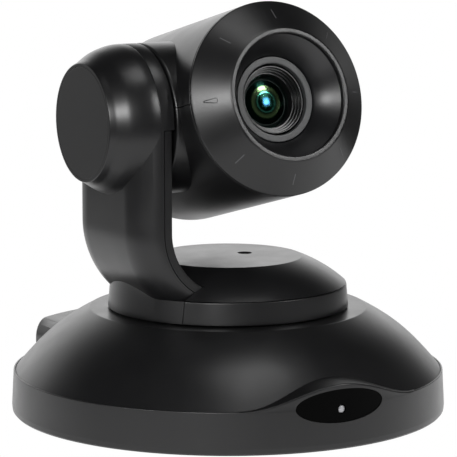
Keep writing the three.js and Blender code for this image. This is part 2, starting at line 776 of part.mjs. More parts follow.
function tiltMotorBody() {
  const near = bracketX + bracket.thickness + gap;
  const far = tiltDrive.innerX - tiltMotor.drop;
  return cut(
    alongTiltAxis(tiltMotor.radius, near, far),
    alongTiltAxis(tiltMotor.shaftRadius + gap, far - tiltMotor.bore, far + 1, facets.screw),
  ).translate(0, 0, -tiltDistance);
}

function tiltPinion() {
  return outboard(join(
    gear(tiltDrive, tiltDrive.pinionTeeth, 0, true),
    rod(tiltMotor.shaftRadius, 0.5 - tiltMotor.drop - tiltMotor.bore, 1, facets.screw),
  ));
}

function turretGroup() {
  const group = new THREE.Group();
  group.add(piece("turret_ring", turretRing(), "satinPlastic"));
  group.add(piece("turret_cap", turretCap(), "satinPlastic"));
  group.add(at(piece("cap_screw", capScrewShape(), "paintedSteel"), capHole.x, capHole.y, 0));
  group.add(piece("arm_outer_shell", armOuterShell(), "satinPlastic"));
  group.add(piece("arm_inner_cover", armInnerCover(), "satinPlastic"));
  group.add(piece("drum_end_cap", drumEndCap(), "satinPlastic"));
  group.add(piece("turret_frame", turretFrame(), "steel"));
  group.add(piece("pan_shaft", panShaft(), "steel"));
  const wheel = at(
    piece("pan_gear", gear(panDrive, panDrive.gearTeeth, shaft.radius + gap, false), "whitePlastic"),
    0, 0, panDrive.height,
  );
  wheel.rotation.z = -Math.PI / 2;
  group.add(wheel);
  group.add(piece("arm_bracket", armBracket(), "steel"));
  group.add(piece("tilt_bearing", tiltBearingRing(), "steel"));
  group.add(piece("tilt_motor", tiltMotorBody(), "paintedSteel"));
  group.add(at(
    piece("tilt_pinion", tiltPinion(), "brass"),
    -tiltDrive.innerX, 0, pivotHeight - tiltDistance,
  ));
  return group;
}

// ---------------------------------------------------------------- head
// These shapes are built round Z, with Z forward along the lens and Y up. The group turns them.

// The barrel with its hub as a solid, set in from the outer surface.
function headBody(inset) {
  const back = inset - head.rear;
  const round = head.rearRound - inset / 2;
  const rearRadius = head.rearRadius - inset;
  const front = inset > 0 ? head.front + 1 : head.front - bezel.skirt - gap;
  const rounding = arc(rearRadius - round, back + round, round, round, -90, 0, 5).map(({ x, y }) => [x, y]);
  const barrel = turned([[0, back], ...rounding, [head.radius - inset, front], [0, front]], facets.barrel);
  const hub = outboard(turned([
    [0, 0],
    [head.hubRadius - inset, 0],
    [head.hubRadius - inset, head.hubX - inset - 1],
    [head.hubRadius - inset - 1, head.hubX - inset],
    [0, head.hubX - inset],
  ], facets.barrel));
  return join(barrel, hub);
}

function headShell(side) {
  const reach = 2 * head.rear;
  const half = side > 0 ? [gap / 2, reach] : [-reach, -gap / 2];
  return cut(
    common(headBody(0), block([-reach, reach], half, [-reach, reach])),
    headBody(head.wall),
    outboard(rod(tiltShaft.radius + gap, head.hubX - 6, head.hubX + 6)),
  );
}

function frontBezel() {
  const back = head.front - bezel.skirt;
  return turned([
    [head.radius, back],
    [head.radius, head.front],
    [bezel.rimRadius + bezel.edge, bezel.front - 0.7 * bezel.edge],
    [bezel.rimRadius, bezel.front],
    [bezel.holeRadius, bezel.front],
    [bezel.holeRadius, bezel.front - bezel.rimDepth],
    [bezel.rimRadius - 0.5, bezel.front - bezel.rimDepth],
    [head.radius - head.wall, back],
  ], facets.barrel);
}

function lensShroud() {
  const mouth = bezel.front - bezel.rimDepth - gap;
  const floor = lensRing.front - lensRing.thickness;
  const seat = lensRing.radius + gap;
  return turned([
    [bezel.holeRadius, mouth],
    [bezel.holeRadius + shroud.wall, mouth],
    [seat + shroud.wall, floor],
    [seat, floor],
    [seat, lensRing.front],
  ], facets.barrel);
}

const lensRingShape = () => ring(lensRing.radius, lensRing.holeRadius,
  lensRing.front - lensRing.thickness, lensRing.front, facets.barrel);

// Where the front glass sits, behind the last step of the barrel.
const glassFront = lensRing.front - lensBarrel.setBack - (lensBarrel.steps + 1) * lensBarrel.stepDepth;

function lensBarrelShape() {
  const front = lensRing.front - lensBarrel.setBack;
  const stairs = [];
  for (let step = 0; step < lensBarrel.steps; step += 1) {
    const radius = lensBarrel.radius - (step + 1) * lensBarrel.stepWidth;
    const stairFront = front - step * lensBarrel.stepDepth;
    stairs.push([radius, stairFront], [radius, stairFront - lensBarrel.stepDepth]);
  }
  const seat = frontLens.radius + gap;
  const seatFloor = glassFront - frontLens.thickness - gap;
  const shoulder = Math.min(front - lensBarrel.wideLength, seatFloor - 1);
  return turned([
    [lensBarrel.radius, front],
    ...stairs,
    [seat, front - lensBarrel.steps * lensBarrel.stepDepth],
    [seat, seatFloor],
    [barrelNeck.bore, seatFloor],
    [barrelNeck.bore, lensFrame.front + gap],
    [barrelNeck.radius, lensFrame.front + gap],
    [barrelNeck.radius, shoulder],
    [lensBarrel.radius, shoulder],
  ], facets.lens);
}

// A glass disc with a domed front.
function lensShape(radius, thickness, crown, front, segments) {
  const edge = front - crown;
  const dome = arc(0, edge, radius, crown, 0, 90, 3).slice(1, -1).map(({ x, y }) => [x, y]);
  const back = front - thickness;
  return turned([[0, back], [radius, back], [radius, edge + 0.01], ...dome, [0, front]], segments);
}

const frontLensShape = () => lensShape(
  frontLens.radius, frontLens.thickness, 0.8 * frontLens.crown, glassFront, facets.small);

const groupLensShape = (middle) => lensShape(
  groupLens.radius, groupLens.thickness, groupLens.crown, middle + groupLens.thickness / 2, facets.small);

// A plate across the lens axis, with holes for the rods and the screws.
function crossPlate(middle, thickness, centreHole, zoomHole, focusHole) {
  const low = middle - thickness / 2;
  const high = middle + thickness / 2;
  const hole = (radius, x, y) => rod(radius, low - 1, high + 1, facets.screw).translate(x, y, 0);
  const { halfWidth, halfHeight } = carriage;
  return cut(
    block([-halfWidth, halfWidth], [-halfHeight, halfHeight], [low, high]),
    rod(centreHole, low - 1, high + 1),
    hole(rods.radius + gap, rods.x, rods.y),
    hole(rods.radius + gap, -rods.x, -rods.y),
    hole(zoomHole, -rods.x, rods.y),
    hole(focusHole, rods.x, -rods.y),
  );
}

function lensFrameShape() {
  const half = lensFrame.halfWidth;
  const under = -half;
  const front = [lensFrame.front - lensFrame.plate, lensFrame.front];
  const rear = [lensFrame.rear, lensFrame.rear + lensFrame.plate];
  const reachDown = -Math.sqrt((head.radius - head.wall) ** 2 - (half + 1) ** 2) + 2;
  const leg = (x, z) => block(
    [x - lensFrame.legSize / 2, x + lensFrame.legSize / 2],
    [reachDown, under + 1],
    [z - lensFrame.legSize / 2, z + lensFrame.legSize / 2],
  );
  const legX = half - lensFrame.legSize / 2;
  const body = join(
    block([-half, half], [under, half], front),
    block([-half, half], [under, half], rear),
    block([-half, half], [under, under + lensFrame.floor], [lensFrame.rear, lensFrame.front]),
    ...lensFrame.legsAt.flatMap((z) => [leg(legX, z), leg(-legX, z)]),
  );
  const screwHole = (x, y) => rod(screws.radius + gap, lensFrame.front - 5, lensFrame.front + 1, facets.screw)
    .translate(x, y, 0);
  return cut(
    body,
    rod(barrelNeck.bore, lensFrame.front - 5, lensFrame.front + 1),
    rod(lensFrame.windowRadius, lensFrame.rear - 1, lensFrame.rear + 5),
    screwHole(-rods.x, rods.y),
    screwHole(rods.x, -rods.y),
  );
}

const rodFrom = lensFrame.rear + lensFrame.plate + gap;
const rodTo = lensFrame.front - lensFrame.plate - gap;

const guideRod = () => rod(rods.radius, rodFrom, rodTo, facets.screw);
const leadScrew = () => rod(screws.radius, rodFrom, lensFrame.front, facets.screw);
const lensMotor = () => rod(screws.motorRadius, lensFrame.front + gap, lensFrame.front + screws.motorLength);

function imageSensor() {
  const front = lensFrame.rear - sensor.setBack;
  return block([-sensor.width / 2, sensor.width / 2], [-sensor.height / 2, sensor.height / 2],
    [front - sensor.thickness, front]);
}

function sensorBoard() {
  const front = lensFrame.rear - sensor.setBack - sensor.thickness - gap;
  return block([-sensor.boardHalf, sensor.boardHalf], [-sensor.boardHalf, sensor.boardHalf],
    [front - sensor.boardThickness, front]);
}

function tiltShaftShape() {
  const flangeTo = head.hubX - head.wall - gap;
  const shape = join(
    rod(tiltShaft.radius, flangeTo - 1, tiltDrive.innerX + tiltDrive.thickness + 0.4),
    rod(tiltShaft.flangeRadius, flangeTo - tiltShaft.flangeThickness, flangeTo),
  );
  return outboard(shape);
}

// The wheel's first tooth points straight down at the pinion when the head is at rest.
function tiltGearShape() {
  const wheel = gear(tiltDrive, tiltDrive.gearTeeth, tiltShaft.radius + gap, false)
    .rotateZ(THREE.MathUtils.degToRad(-90 - tiltAtRest));
  return outboard(wheel.translate(0, 0, tiltDrive.innerX));
}

function headGroup() {
  const group = new THREE.Group();
  group.position.z = pivotHeight;
  group.rotation.x = THREE.MathUtils.degToRad(90 - tiltAtRest);
  group.add(piece("head_upper_shell", headShell(1), "satinPlastic"));
  group.add(piece("head_lower_shell", headShell(-1), "satinPlastic"));
  group.add(piece("front_bezel", frontBezel(), "satinPlastic"));
  group.add(piece("lens_shroud", lensShroud(), "glossPlastic"));
  group.add(piece("lens_ring", lensRingShape(), "ringPlastic"));
  group.add(piece("lens_barrel", lensBarrelShape(), "satinPlastic"));
  group.add(piece("front_lens", frontLensShape(), "glass"));
  group.add(piece("lens_frame", lensFrameShape(), "aluminium"));
  group.add(at(piece("guide_rod_upper", guideRod(), "steel"), rods.x, rods.y, 0));
  group.add(at(piece("guide_rod_lower", guideRod(), "steel"), -rods.x, -rods.y, 0));
  group.add(piece("iris_diaphragm",
    crossPlate(irisAt, iris.thickness, iris.aperture, screws.radius + 2 * gap, screws.radius + 2 * gap),
    "paintedSteel"));
  group.add(piece("zoom_carriage",
    crossPlate(zoomAt, carriage.thickness, carriage.hole, screws.radius + gap, screws.radius + 3 * gap),
    "whitePlastic"));
  group.add(piece("zoom_lens", groupLensShape(zoomAt), "glass"));
  group.add(piece("focus_carriage",
    crossPlate(focusAt, carriage.thickness, carriage.hole, screws.radius + 3 * gap, screws.radius + gap),
    "whitePlastic"));
  group.add(piece("focus_lens", groupLensShape(focusAt), "glass"));
  group.add(at(piece("zoom_screw", leadScrew(), "steel"), -rods.x, rods.y, 0));
  group.add(at(piece("focus_screw", leadScrew(), "steel"), rods.x, -rods.y, 0));
  group.add(at(piece("zoom_motor", lensMotor(), "paintedSteel"), -rods.x, rods.y, 0));
  group.add(at(piece("focus_motor", lensMotor(), "paintedSteel"), rods.x, -rods.y, 0));
  group.add(piece("image_sensor", imageSensor(), "glossPlastic"));
  group.add(piece("sensor_board", sensorBoard(), "boardGreen"));
  group.add(piece("tilt_shaft", tiltShaftShape(), "steel"));
  group.add(piece("tilt_gear", tiltGearShape(), "whitePlastic"));
  return group;
}

// ---------------------------------------------------------------- camera

const camera = new THREE.Group();
camera.add(baseGroup());
camera.add(turretGroup());
camera.add(headGroup());

export default camera;
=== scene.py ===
"""The looks of a tabletop pan-tilt-zoom camera, built round its CAD frame: shells, lens, sockets, studio."""
import json
import math

import bmesh
import bpy
from mathutils import Matrix, Vector


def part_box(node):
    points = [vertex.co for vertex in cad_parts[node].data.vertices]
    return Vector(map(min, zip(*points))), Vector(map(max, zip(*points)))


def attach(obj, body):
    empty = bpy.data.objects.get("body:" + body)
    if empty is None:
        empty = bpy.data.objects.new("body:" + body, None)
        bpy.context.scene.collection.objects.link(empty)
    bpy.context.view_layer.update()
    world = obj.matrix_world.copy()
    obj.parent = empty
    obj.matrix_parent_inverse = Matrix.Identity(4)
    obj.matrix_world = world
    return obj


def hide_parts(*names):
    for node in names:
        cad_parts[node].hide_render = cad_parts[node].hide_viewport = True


bl_info = {
    "name": "PTZ Camera Looks",
    "version": (1, 0, 0),
    "blender": (4, 5, 0),
    "location": "3D View > Sidebar > PTZ Camera",
    "description": "Builds the shells, the lens, the sockets and the studio of a pan-tilt-zoom camera",
    "category": "Add Mesh",
}

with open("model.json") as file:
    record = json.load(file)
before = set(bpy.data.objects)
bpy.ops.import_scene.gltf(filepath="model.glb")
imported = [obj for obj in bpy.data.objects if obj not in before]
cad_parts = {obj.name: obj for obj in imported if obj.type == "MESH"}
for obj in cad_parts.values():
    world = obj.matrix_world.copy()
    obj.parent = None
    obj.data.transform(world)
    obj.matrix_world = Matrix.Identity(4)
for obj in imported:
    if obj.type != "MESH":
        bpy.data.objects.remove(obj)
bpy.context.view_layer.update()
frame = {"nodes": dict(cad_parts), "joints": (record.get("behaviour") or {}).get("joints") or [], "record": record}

MM = 0.001
GAP = 0.3 * MM  # between pieces that touch or turn past each other
FULL_TURN = 2 * math.pi

# ------------------------------------------------------------------ places read from the frame

JOINTS = {joint["name"]: joint for joint in frame["joints"]}
PIVOT = Vector(JOINTS["tilt"]["pos_m"])
FORWARD = Vector(JOINTS["zoom_slide"]["axis"]).normalized()
BASE_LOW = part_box("base_housing")[0].z
ANNULUS_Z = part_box("base_housing")[1].z
PANEL_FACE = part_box("rear_panel")[1].y
TURRET_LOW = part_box("turret_ring")[0].z
TURRET_BAND_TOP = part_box("turret_ring")[1].z
CAP_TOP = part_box("turret_cap")[1].z
DRUM_END = -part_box("arm_outer_shell")[0].x


def columns(x, y, z, origin):
    """The matrix that carries the X, Y and Z axes to these directions, from this origin."""
    turned = Matrix((x, y, z)).transposed().to_4x4()
    return Matrix.Translation(origin) @ turned


ACROSS = Vector((1, 0, 0))
HEAD = columns(ACROSS, FORWARD.cross(ACROSS), FORWARD, PIVOT)  # Z along the lens, Y up
OUTBOARD = columns(Vector((0, 0, 1)), Vector((0, 1, 0)), -ACROSS, PIVOT)  # Z out through the drum


# ------------------------------------------------------------------ sizes and colours

def length(name, description, default):
    return bpy.props.FloatProperty(
        name=name, description=description, default=default, min=0.0, precision=5,
        subtype="DISTANCE", unit="LENGTH",
    )


def angle(name, description, degrees):
    return bpy.props.FloatProperty(
        name=name, description=description, default=math.radians(degrees), subtype="ANGLE", unit="ROTATION"
    )


def colour(name, description, default):
    return bpy.props.FloatVectorProperty(
        name=name, description=description, default=default, size=3, min=0.0, max=1.0, subtype="COLOR"
    )


def share(name, description, default):
    return bpy.props.FloatProperty(
        name=name, description=description, default=default, min=0.0, max=1.0, subtype="FACTOR"
    )


class BaseSizes(bpy.types.PropertyGroup):
    radius: length("Radius", "Radius of the band", 90 * MM)
    flare: length("Flare", "Extra radius near the bottom edge", 0.8 * MM)
    flare_height: length("Flare height", "Height of the widest point above the bottom edge", 2.6 * MM)
    band_height: length("Band height", "Height of the band", 17.2 * MM)
    lip: length("Lip", "Width of the shoulder between the dome and the band", 0.8 * MM)
    flat_radius: length("Flat radius", "Edge of the flat ring round the turret", 58 * MM)
    turret_hole: length("Turret hole", "Radius of the hole under the turret", 44 * MM)
    wall: length("Wall", "Wall of the housing", 2.4 * MM)
    brow_angle: angle("Brow angle", "Half of the angle that the raised edge covers", 27)
    brow_rise: length("Brow rise", "How far the edge rises over the window", 8.8 * MM)
    brow_slope: angle("Brow slope", "Slope of the ledge behind the raised edge", 6)
    window_width: length("Window half width", "Half of the oval window's width", 20.1 * MM)
    window_height: length("Window half height", "Half of the oval window's height", 6.7 * MM)
    window_centre: length("Window centre", "Height of the window's centre above the bottom edge", 17.4 * MM)
    window_thickness: length("Window thickness", "Thickness of the window", 2 * MM)
    receiver_radius: length("Receiver radius", "Radius of the lamp in the window", 1.6 * MM)
    receiver_drop: length("Receiver drop", "How far the lamp sits below the window's centre", 1.5 * MM)
    hood_width: length("Hood half width", "Half of the raised wall's width at the rear", 55 * MM)
    hood_height: length("Hood height", "Height of the raised wall at the rear", 30.1 * MM)
    hood_corner: length("Hood corner", "Corner radius of the raised wall at the rear", 7 * MM)
    recess_width: length("Recess half width", "Half of the connector opening's width", 46 * MM)
    recess_low: length("Recess bottom", "Bottom of the connector opening above the bottom edge", 4 * MM)
    recess_high: length("Recess top", "Top of the connector opening above the bottom edge", 25.5 * MM)
    foot_radius: length("Foot radius", "Radius of a rubber foot", 6 * MM)
    foot_circle: length("Foot circle", "Distance of each foot from the centre", 68 * MM)


class TurretSizes(bpy.types.PropertyGroup):
    radius: length("Radius", "Radius at the bottom of the band", 50.35 * MM)
    top_radius: length("Top radius", "Radius at the top of the band", 49.5 * MM)
    disc_radius: length("Disc radius", "Radius of the flat disc on top", 30.9 * MM)
    sag: length("Sag", "How far the slope of the cap bulges", 0.7 * MM)
    wall: length("Wall", "Wall of the band and the cap", 2.2 * MM)
    flange: length("Flange", "Width of the band's foot", 6 * MM)
    hole_radius: length("Hole radius", "Radius of the screw's hole", 2.9 * MM)


class ArmSizes(bpy.types.PropertyGroup):
    half_width: length("Half width", "Half of the arm's width", 31 * MM)
    inner_x: length("Inner face", "Distance of the inner face from the pan axis", 43.4 * MM)
    cover: length("Cover", "Thickness of the inner cover", 3.7 * MM)
    outer_x: length("Outer face", "Distance of the outer face from the pan axis", 57.4 * MM)
    corner_width: length("Corner", "Width of the rounding at each edge of the outer face", 15 * MM)
    bend_radius: length("Bend radius", "Radius of the inner face's bend", 26 * MM)
    bend_height: length("Bend height", "Height where the bend begins", 82 * MM)
    wall: length("Wall", "Wall of the outer shell", 2.2 * MM)
    drum_inner_x: length("Drum inner end", "Distance of the collar's end from the pan axis", 42.4 * MM)
    drum_rim: length("Drum rim", "Radius of the flat end", 24 * MM)
    drum_radius: length("Drum radius", "Largest radius of the drum", 31 * MM)
    collar_parting: length("Collar parting", "Distance of the parting line from the pan axis", 48.2 * MM)
    collar_drop: length("Collar drop", "How far the cover ends below the tilt axis", 1.5 * MM)
    cap_radius: length("Cap radius", "Radius of the end cap", 22.7 * MM)
    cap_thickness: length("Cap thickness", "Thickness of the end cap", 2 * MM)
    bearing_radius: length("Bearing radius", "Radius of the hole for the tilt bearing", 10 * MM)


class HeadSizes(bpy.types.PropertyGroup):
    radius: length("Radius", "Radius at the front crease", 39.7 * MM)
    rear_radius: length("Rear radius", "Radius near the rear", 40.3 * MM)
    front: length("Front", "Distance of the front crease ahead of the tilt axis", 41.3 * MM)
    rear: length("Rear", "Distance of the rear face behind the tilt axis", 48 * MM)
    rear_round: length("Rear rounding", "Rounding of the rear edge", 12 * MM)
    hub_radius: length("Hub radius", "Radius of the hub beside the arm", 31 * MM)
    hub_x: length("Hub end", "Distance of the hub's face from the centre", 41.2 * MM)
    wall: length("Wall", "Wall of the shells", 2.2 * MM)
    shaft_hole: length("Shaft hole", "Radius of the hole for the tilt shaft", 5.3 * MM)
    bezel_front: length("Bezel front", "Distance of the bezel's rim ahead of the tilt axis", 51.4 * MM)
    rim_radius: length("Rim radius", "Outer radius of the bezel's rim", 26.9 * MM)
    hole_radius: length("Hole radius", "Inner radius of the bezel's rim", 24.9 * MM)
    rim_depth: length("Rim depth", "Depth of the rim", 2 * MM)
    skirt: length("Skirt", "Length of the bezel behind the crease", 0.9 * MM)
    mark_length: length("Mark length", "Length of each mark on the bezel", 5.2 * MM)
    mark_width: length("Mark width", "Width of each mark on the bezel", 0.42 * MM)


class LensSizes(bpy.types.PropertyGroup):
    ring_front: length("Ring front", "Distance of the flat ring ahead of the tilt axis", 39.2 * MM)
    ring_radius: length("Ring radius", "Outer radius of the flat ring", 17.4 * MM)
    ring_hole: length("Ring hole", "Inner radius of the flat ring", 14.6 * MM)
    ring_thickness: length("Ring thickness", "Thickness of the flat ring", 2.3 * MM)
    shroud_wall: length("Shroud wall", "Wall of the funnel", 1.2 * MM)
    barrel_radius: length("Barrel radius", "Radius of the lens barrel", 13.9 * MM)
    set_back: length("Set back", "How far the barrel sits behind the flat ring", 1.6 * MM)
    step_depth: length("Step depth", "Depth of each step in the barrel", 1.2 * MM)
    step_width: length("Step width", "Width of each step in the barrel", 0.7 * MM)
    wide_length: length("Wide length", "Length of the barrel's wide part", 9 * MM)
    neck_radius: length("Neck radius", "Radius of the barrel's neck", 10.2 * MM)
    bore: length("Bore", "Radius of the barrel's bore", 8.2 * MM)
    neck_end: length("Neck end", "Distance of the neck's end ahead of the tilt axis", 15.3 * MM)
    glass_radius: length("Glass radius", "Radius of the front glass", 10.9 * MM)
    glass_crown: length("Glass crown", "How far the front glass bulges", 1.92 * MM)
    glass_thickness: length("Glass thickness", "Depth of the front glass's seat", 2.5 * MM)
    inner_glass: length("Inner glass", "Radius of the inner glass", 9 * MM)


class FinishColours(bpy.types.PropertyGroup):
    plastic: colour("Plastic", "Satin plastic of the shells", (0.0045, 0.0045, 0.0048))
    plastic_roughness: share("Plastic roughness", "Roughness of the satin plastic", 0.32)
    ring: colour("Ring", "Plastic of the flat ring round the lens", (0.035, 0.036, 0.037))
    gloss: colour("Gloss", "Polished plastic of the funnel and the window", (0.003, 0.003, 0.0035))
    window: colour("Window", "Window over the receiver", (0.0006, 0.0006, 0.0006))
    mark: colour("Mark", "Printed marks on the bezel", (0.05, 0.05, 0.052))
    lamp: colour("Lamp", "Lamp in the window", (0.2, 0.2, 0.21))
    teal: colour("Teal coating", "Coating of the glass", (0.3, 0.8, 0.68))
    blue: colour("Blue coating", "Middle of the inner glass", (0.12, 0.28, 0.7))
    amber: colour("Amber coating", "Outer ring of the inner glass", (0.75, 0.7, 0.36))
    rubber: colour("Rubber", "Feet", (0.015, 0.015, 0.015))
    steel: colour("Steel", "Shafts, bearings and connector shells", (0.56, 0.56, 0.57))
    painted: colour("Painted steel", "Plate, panel and motor cans", (0.02, 0.02, 0.022))
    brass: colour("Brass", "Pinions", (0.72, 0.5, 0.2))
    aluminium: colour("Aluminium", "Chassis and lens frame", (0.6, 0.61, 0.63))
    board: colour("Circuit board", "Solder mask", (0.01, 0.09, 0.04))
    white: colour("White plastic", "Gears and carriages", (0.72, 0.7, 0.65))
    gold: colour("Gold", "Connector contacts", (0.85, 0.6, 0.22))


class StageSettings(bpy.types.PropertyGroup):
    azimuth: angle("Azimuth", "How far the camera stands round from the front", -29.93)
    distance: length("Distance", "Horizontal distance of the camera from the pan axis", 1.1143)
    height: length("Height", "Height of the camera above the floor", 0.2514)
    pitch: angle("Pitch", "How far the camera looks down", 8.92)
    side: length("Side shift", "How far the camera stands to its right", 0.19 * MM)
    focal: bpy.props.FloatProperty(
        name="Focal length", description="Focal length on a 36 mm sensor, in millimetres", default=212.76
    )
    floor: colour("Floor", "Floor and surroundings", (0.94, 0.94, 0.945))
    floor_light: share("Floor light", "Light that the floor throws back", 0.55)
    floor_radius: length("Floor radius", "Radius of the floor", 0.38)
    front: share("Front light", "Brightness of the surroundings on the camera's side", 0.12)
    rear: bpy.props.FloatProperty(
        name="Rear light", description="Brightness of the surroundings behind the object",
        default=1.7, min=0.1,
    )
    rear_turn: angle("Rear turn", "How far the bright side is turned past straight behind", 15)
    low: share("Low light", "Brightness of the surroundings below the horizon, as a share", 0.35)
    sky: share("Overhead light", "Brightness of the surroundings overhead, as a share", 0.12)


GROUPS = {
    "ptz_base": BaseSizes,
    "ptz_turret": TurretSizes,
    "ptz_arm": ArmSizes,
    "ptz_head": HeadSizes,
    "ptz_lens": LensSizes,
    "ptz_finish": FinishColours,
    "ptz_stage": StageSettings,
}


# ------------------------------------------------------------------ meshes

def new_object(name, bm):
    bmesh.ops.remove_doubles(bm, verts=bm.verts, dist=1e-7)
    bmesh.ops.recalc_face_normals(bm, faces=bm.faces)
    mesh = bpy.data.meshes.new(name)
    bm.to_mesh(mesh)
    bm.free()
    obj = bpy.data.objects.new(name, mesh)
    bpy.context.scene.collection.objects.link(obj)
    return obj


def loft(name, sections, closed=False):
    """A solid through sections with the same number of points, capped at both ends unless closed."""
    bm = bmesh.new()
    rings = [[bm.verts.new(point) for point in section] for section in sections]
    pairs = list(zip(rings, rings[1:]))
    if closed:
        pairs.append((rings[-1], rings[0]))
    for first, second in pairs:
        for i, corner in enumerate(first):
            j = (i + 1) % len(first)
            bm.faces.new((corner, first[j], second[j], second[i]))
    if not closed:
        bm.faces.new(rings[0])
        bm.faces.new(list(reversed(rings[-1])))
    return new_object(name, bm)


def lathe(name, profile, place=None, segments=192):
    """A profile of (radius, height) points turned round Z, which ends on the axis or closes on itself."""
    bm = bmesh.new()
    rings = []
    for radius, height in profile:
        if radius < 1e-9:
            rings.append([bm.verts.new((0, 0, height))])
            continue
        turns = [FULL_TURN * i / segments for i in range(segments)]
        rings.append([bm.verts.new((radius * math.cos(t), radius * math.sin(t), height)) for t in turns])
    pairs = list(zip(rings, rings[1:]))
    if len(rings[0]) > 1 and len(rings[-1]) > 1:
        pairs.append((rings[-1], rings[0]))
    for first, second in pairs:
        for i in range(segments):
            j = (i + 1) % segments
            lower = [first[i % len(first)], first[j % len(first)]]
            upper = [second[j % len(second)], second[i % len(second)]]
            unique = list(dict.fromkeys(lower + upper))
            if len(unique) > 2:
                bm.faces.new(unique)
    obj = new_object(name, bm)
    if place:
        obj.data.transform(place)
    return obj


def prism(name, outline, low, high, place=None):
    """An outline in X and Y raised from one height to another."""
    obj = loft(name, [[(x, y, z) for x, y in outline] for z in (low, high)])
    if place:
        obj.data.transform(place)
    return obj


def block(name, xs, ys, zs):
    (x0, x1), (y0, y1), (z0, z1) = xs, ys, zs
    return prism(name, [(x0, y0), (x1, y0), (x1, y1), (x0, y1)], z0, z1)


def rounded(corners, steps=5, support=0.35 * MM, closed=True):
    """A line through (x, y, rounding) corners, with a point just before and after each rounding."""
    made = []
    count = len(corners)
    for i, (x, y, rounding) in enumerate(corners):
        here = Vector((x, y))
        if rounding <= 0 or (not closed and i in (0, count - 1)):
            made.append((x, y))
            continue
        before = Vector(corners[i - 1][:2]) - here
        after = Vector(corners[(i + 1) % count][:2]) - here
        reach = rounding / math.tan(before.angle(after) / 2)
        reach = min(reach, 0.45 * before.length, 0.45 * after.length)
        start = here + before.normalized() * reach
        end = here + after.normalized() * reach
        if before.length > reach + 2 * support:
            made.append(tuple(start + before.normalized() * support))
        for k in range(steps + 1):
            t = k / steps
            made.append(tuple(start * (1 - t) ** 2 + here * (2 * t * (1 - t)) + end * t ** 2))
        if after.length > reach + 2 * support:
            made.append(tuple(end + after.normalized() * support))
    return made


def arc(centre, radii, degrees, steps):
    """Points on an ellipse from one angle to another."""
    first, last = (math.radians(d) for d in degrees)
    turns = [first + (last - first) * i / steps for i in range(steps + 1)]
    return [(centre[0] + radii[0] * math.cos(t), centre[1] + radii[1] * math.sin(t)) for t in turns]


def bezier(points, steps):
    """Points on a cubic curve, each with its direction."""
    a, b, c, d = points
    made = []
    for i in range(steps + 1):
        t = i / steps
        u = 1 - t
        place = a * u ** 3 + b * (3 * t * u * u) + c * (3 * t * t * u) + d * t ** 3
        along = (b - a) * u * u + (c - b) * (2 * t * u) + (d - c) * t * t
        made.append((place, along.normalized()))
    return made


def bake(obj):
    """Takes up an object's modifiers into its own mesh."""
    graph = bpy.context.evaluated_depsgraph_get()
    mesh = bpy.data.meshes.new_from_object(obj.evaluated_get(graph))
    obj.modifiers.clear()
    old = obj.data
    obj.data = mesh
    mesh.name = obj.name
    bpy.data.meshes.remove(old)
    return obj


def combine(obj, operation, *tools):
    """Joins, cuts or intersects an object with others, which are used up."""
    for tool in tools:
        modifier = obj.modifiers.new(operation, "BOOLEAN")
        modifier.operation = operation
        modifier.solver = "MANIFOLD"
        modifier.object = tool
        bake(obj)
        mesh = tool.data
        bpy.data.objects.remove(tool)
        bpy.data.meshes.remove(mesh)
    if not obj.data.polygons:
        raise RuntimeError(f"{obj.name} came out empty")
    return obj


def join(obj, *tools):
    return combine(obj, "UNION", *tools)


def cut(obj, *tools):
    return combine(obj, "DIFFERENCE", *tools)


def common(obj, *tools):
    return combine(obj, "INTERSECT", *tools)


# ------------------------------------------------------------------ repeated details

def socket_named(tree, name, kind, default):
    socket = tree.interface.new_socket(name=name, in_out="INPUT", socket_type=kind)
    socket.default_value = default
    return socket


def copies_tree(name, material, round_axis):
    """A tree that repeats its object's mesh, round the Z axis or along a line."""
    tree = bpy.data.node_groups.new(name, "GeometryNodeTree")
    tree.interface.new_socket(name="Geometry", in_out="INPUT", socket_type="NodeSocketGeometry")
    socket_named(tree, "Count", "NodeSocketInt", 4)
    if round_axis:
        socket_named(tree, "Start", "NodeSocketFloat", 0.0)
        socket_named(tree, "Step", "NodeSocketFloat", 1.0)
    else:
        socket_named(tree, "Offset", "NodeSocketVector", (0.001, 0.0, 0.0))
    tree.interface.new_socket(name="Geometry", in_out="OUTPUT", socket_type="NodeSocketGeometry")
    nodes, link = tree.nodes, tree.links.new
    given = nodes.new("NodeGroupInput")
    line = nodes.new("GeometryNodeMeshLine")
    link(given.outputs["Count"], line.inputs["Count"])
    line.inputs["Offset"].default_value = (0, 0, 0)
    place = nodes.new("GeometryNodeInstanceOnPoints")
    link(line.outputs["Mesh"], place.inputs["Points"])
    link(given.outputs["Geometry"], place.inputs["Instance"])
    if round_axis:
        index = nodes.new("GeometryNodeInputIndex")
        turn = nodes.new("ShaderNodeMath")
        turn.operation = "MULTIPLY_ADD"
        link(index.outputs[0], turn.inputs[0])
        link(given.outputs["Step"], turn.inputs[1])
        link(given.outputs["Start"], turn.inputs[2])
        around = nodes.new("ShaderNodeCombineXYZ")
        link(turn.outputs[0], around.inputs["Z"])
        link(around.outputs[0], place.inputs["Rotation"])
    else:
        link(given.outputs["Offset"], line.inputs["Offset"])
    real = nodes.new("GeometryNodeRealizeInstances")
    link(place.outputs["Instances"], real.inputs["Geometry"])
    finish = nodes.new("GeometryNodeSetMaterial")
    finish.inputs["Material"].default_value = material
    link(real.outputs["Geometry"], finish.inputs["Geometry"])
    end = nodes.new("NodeGroupOutput")
    link(finish.outputs["Geometry"], end.inputs["Geometry"])
    return tree


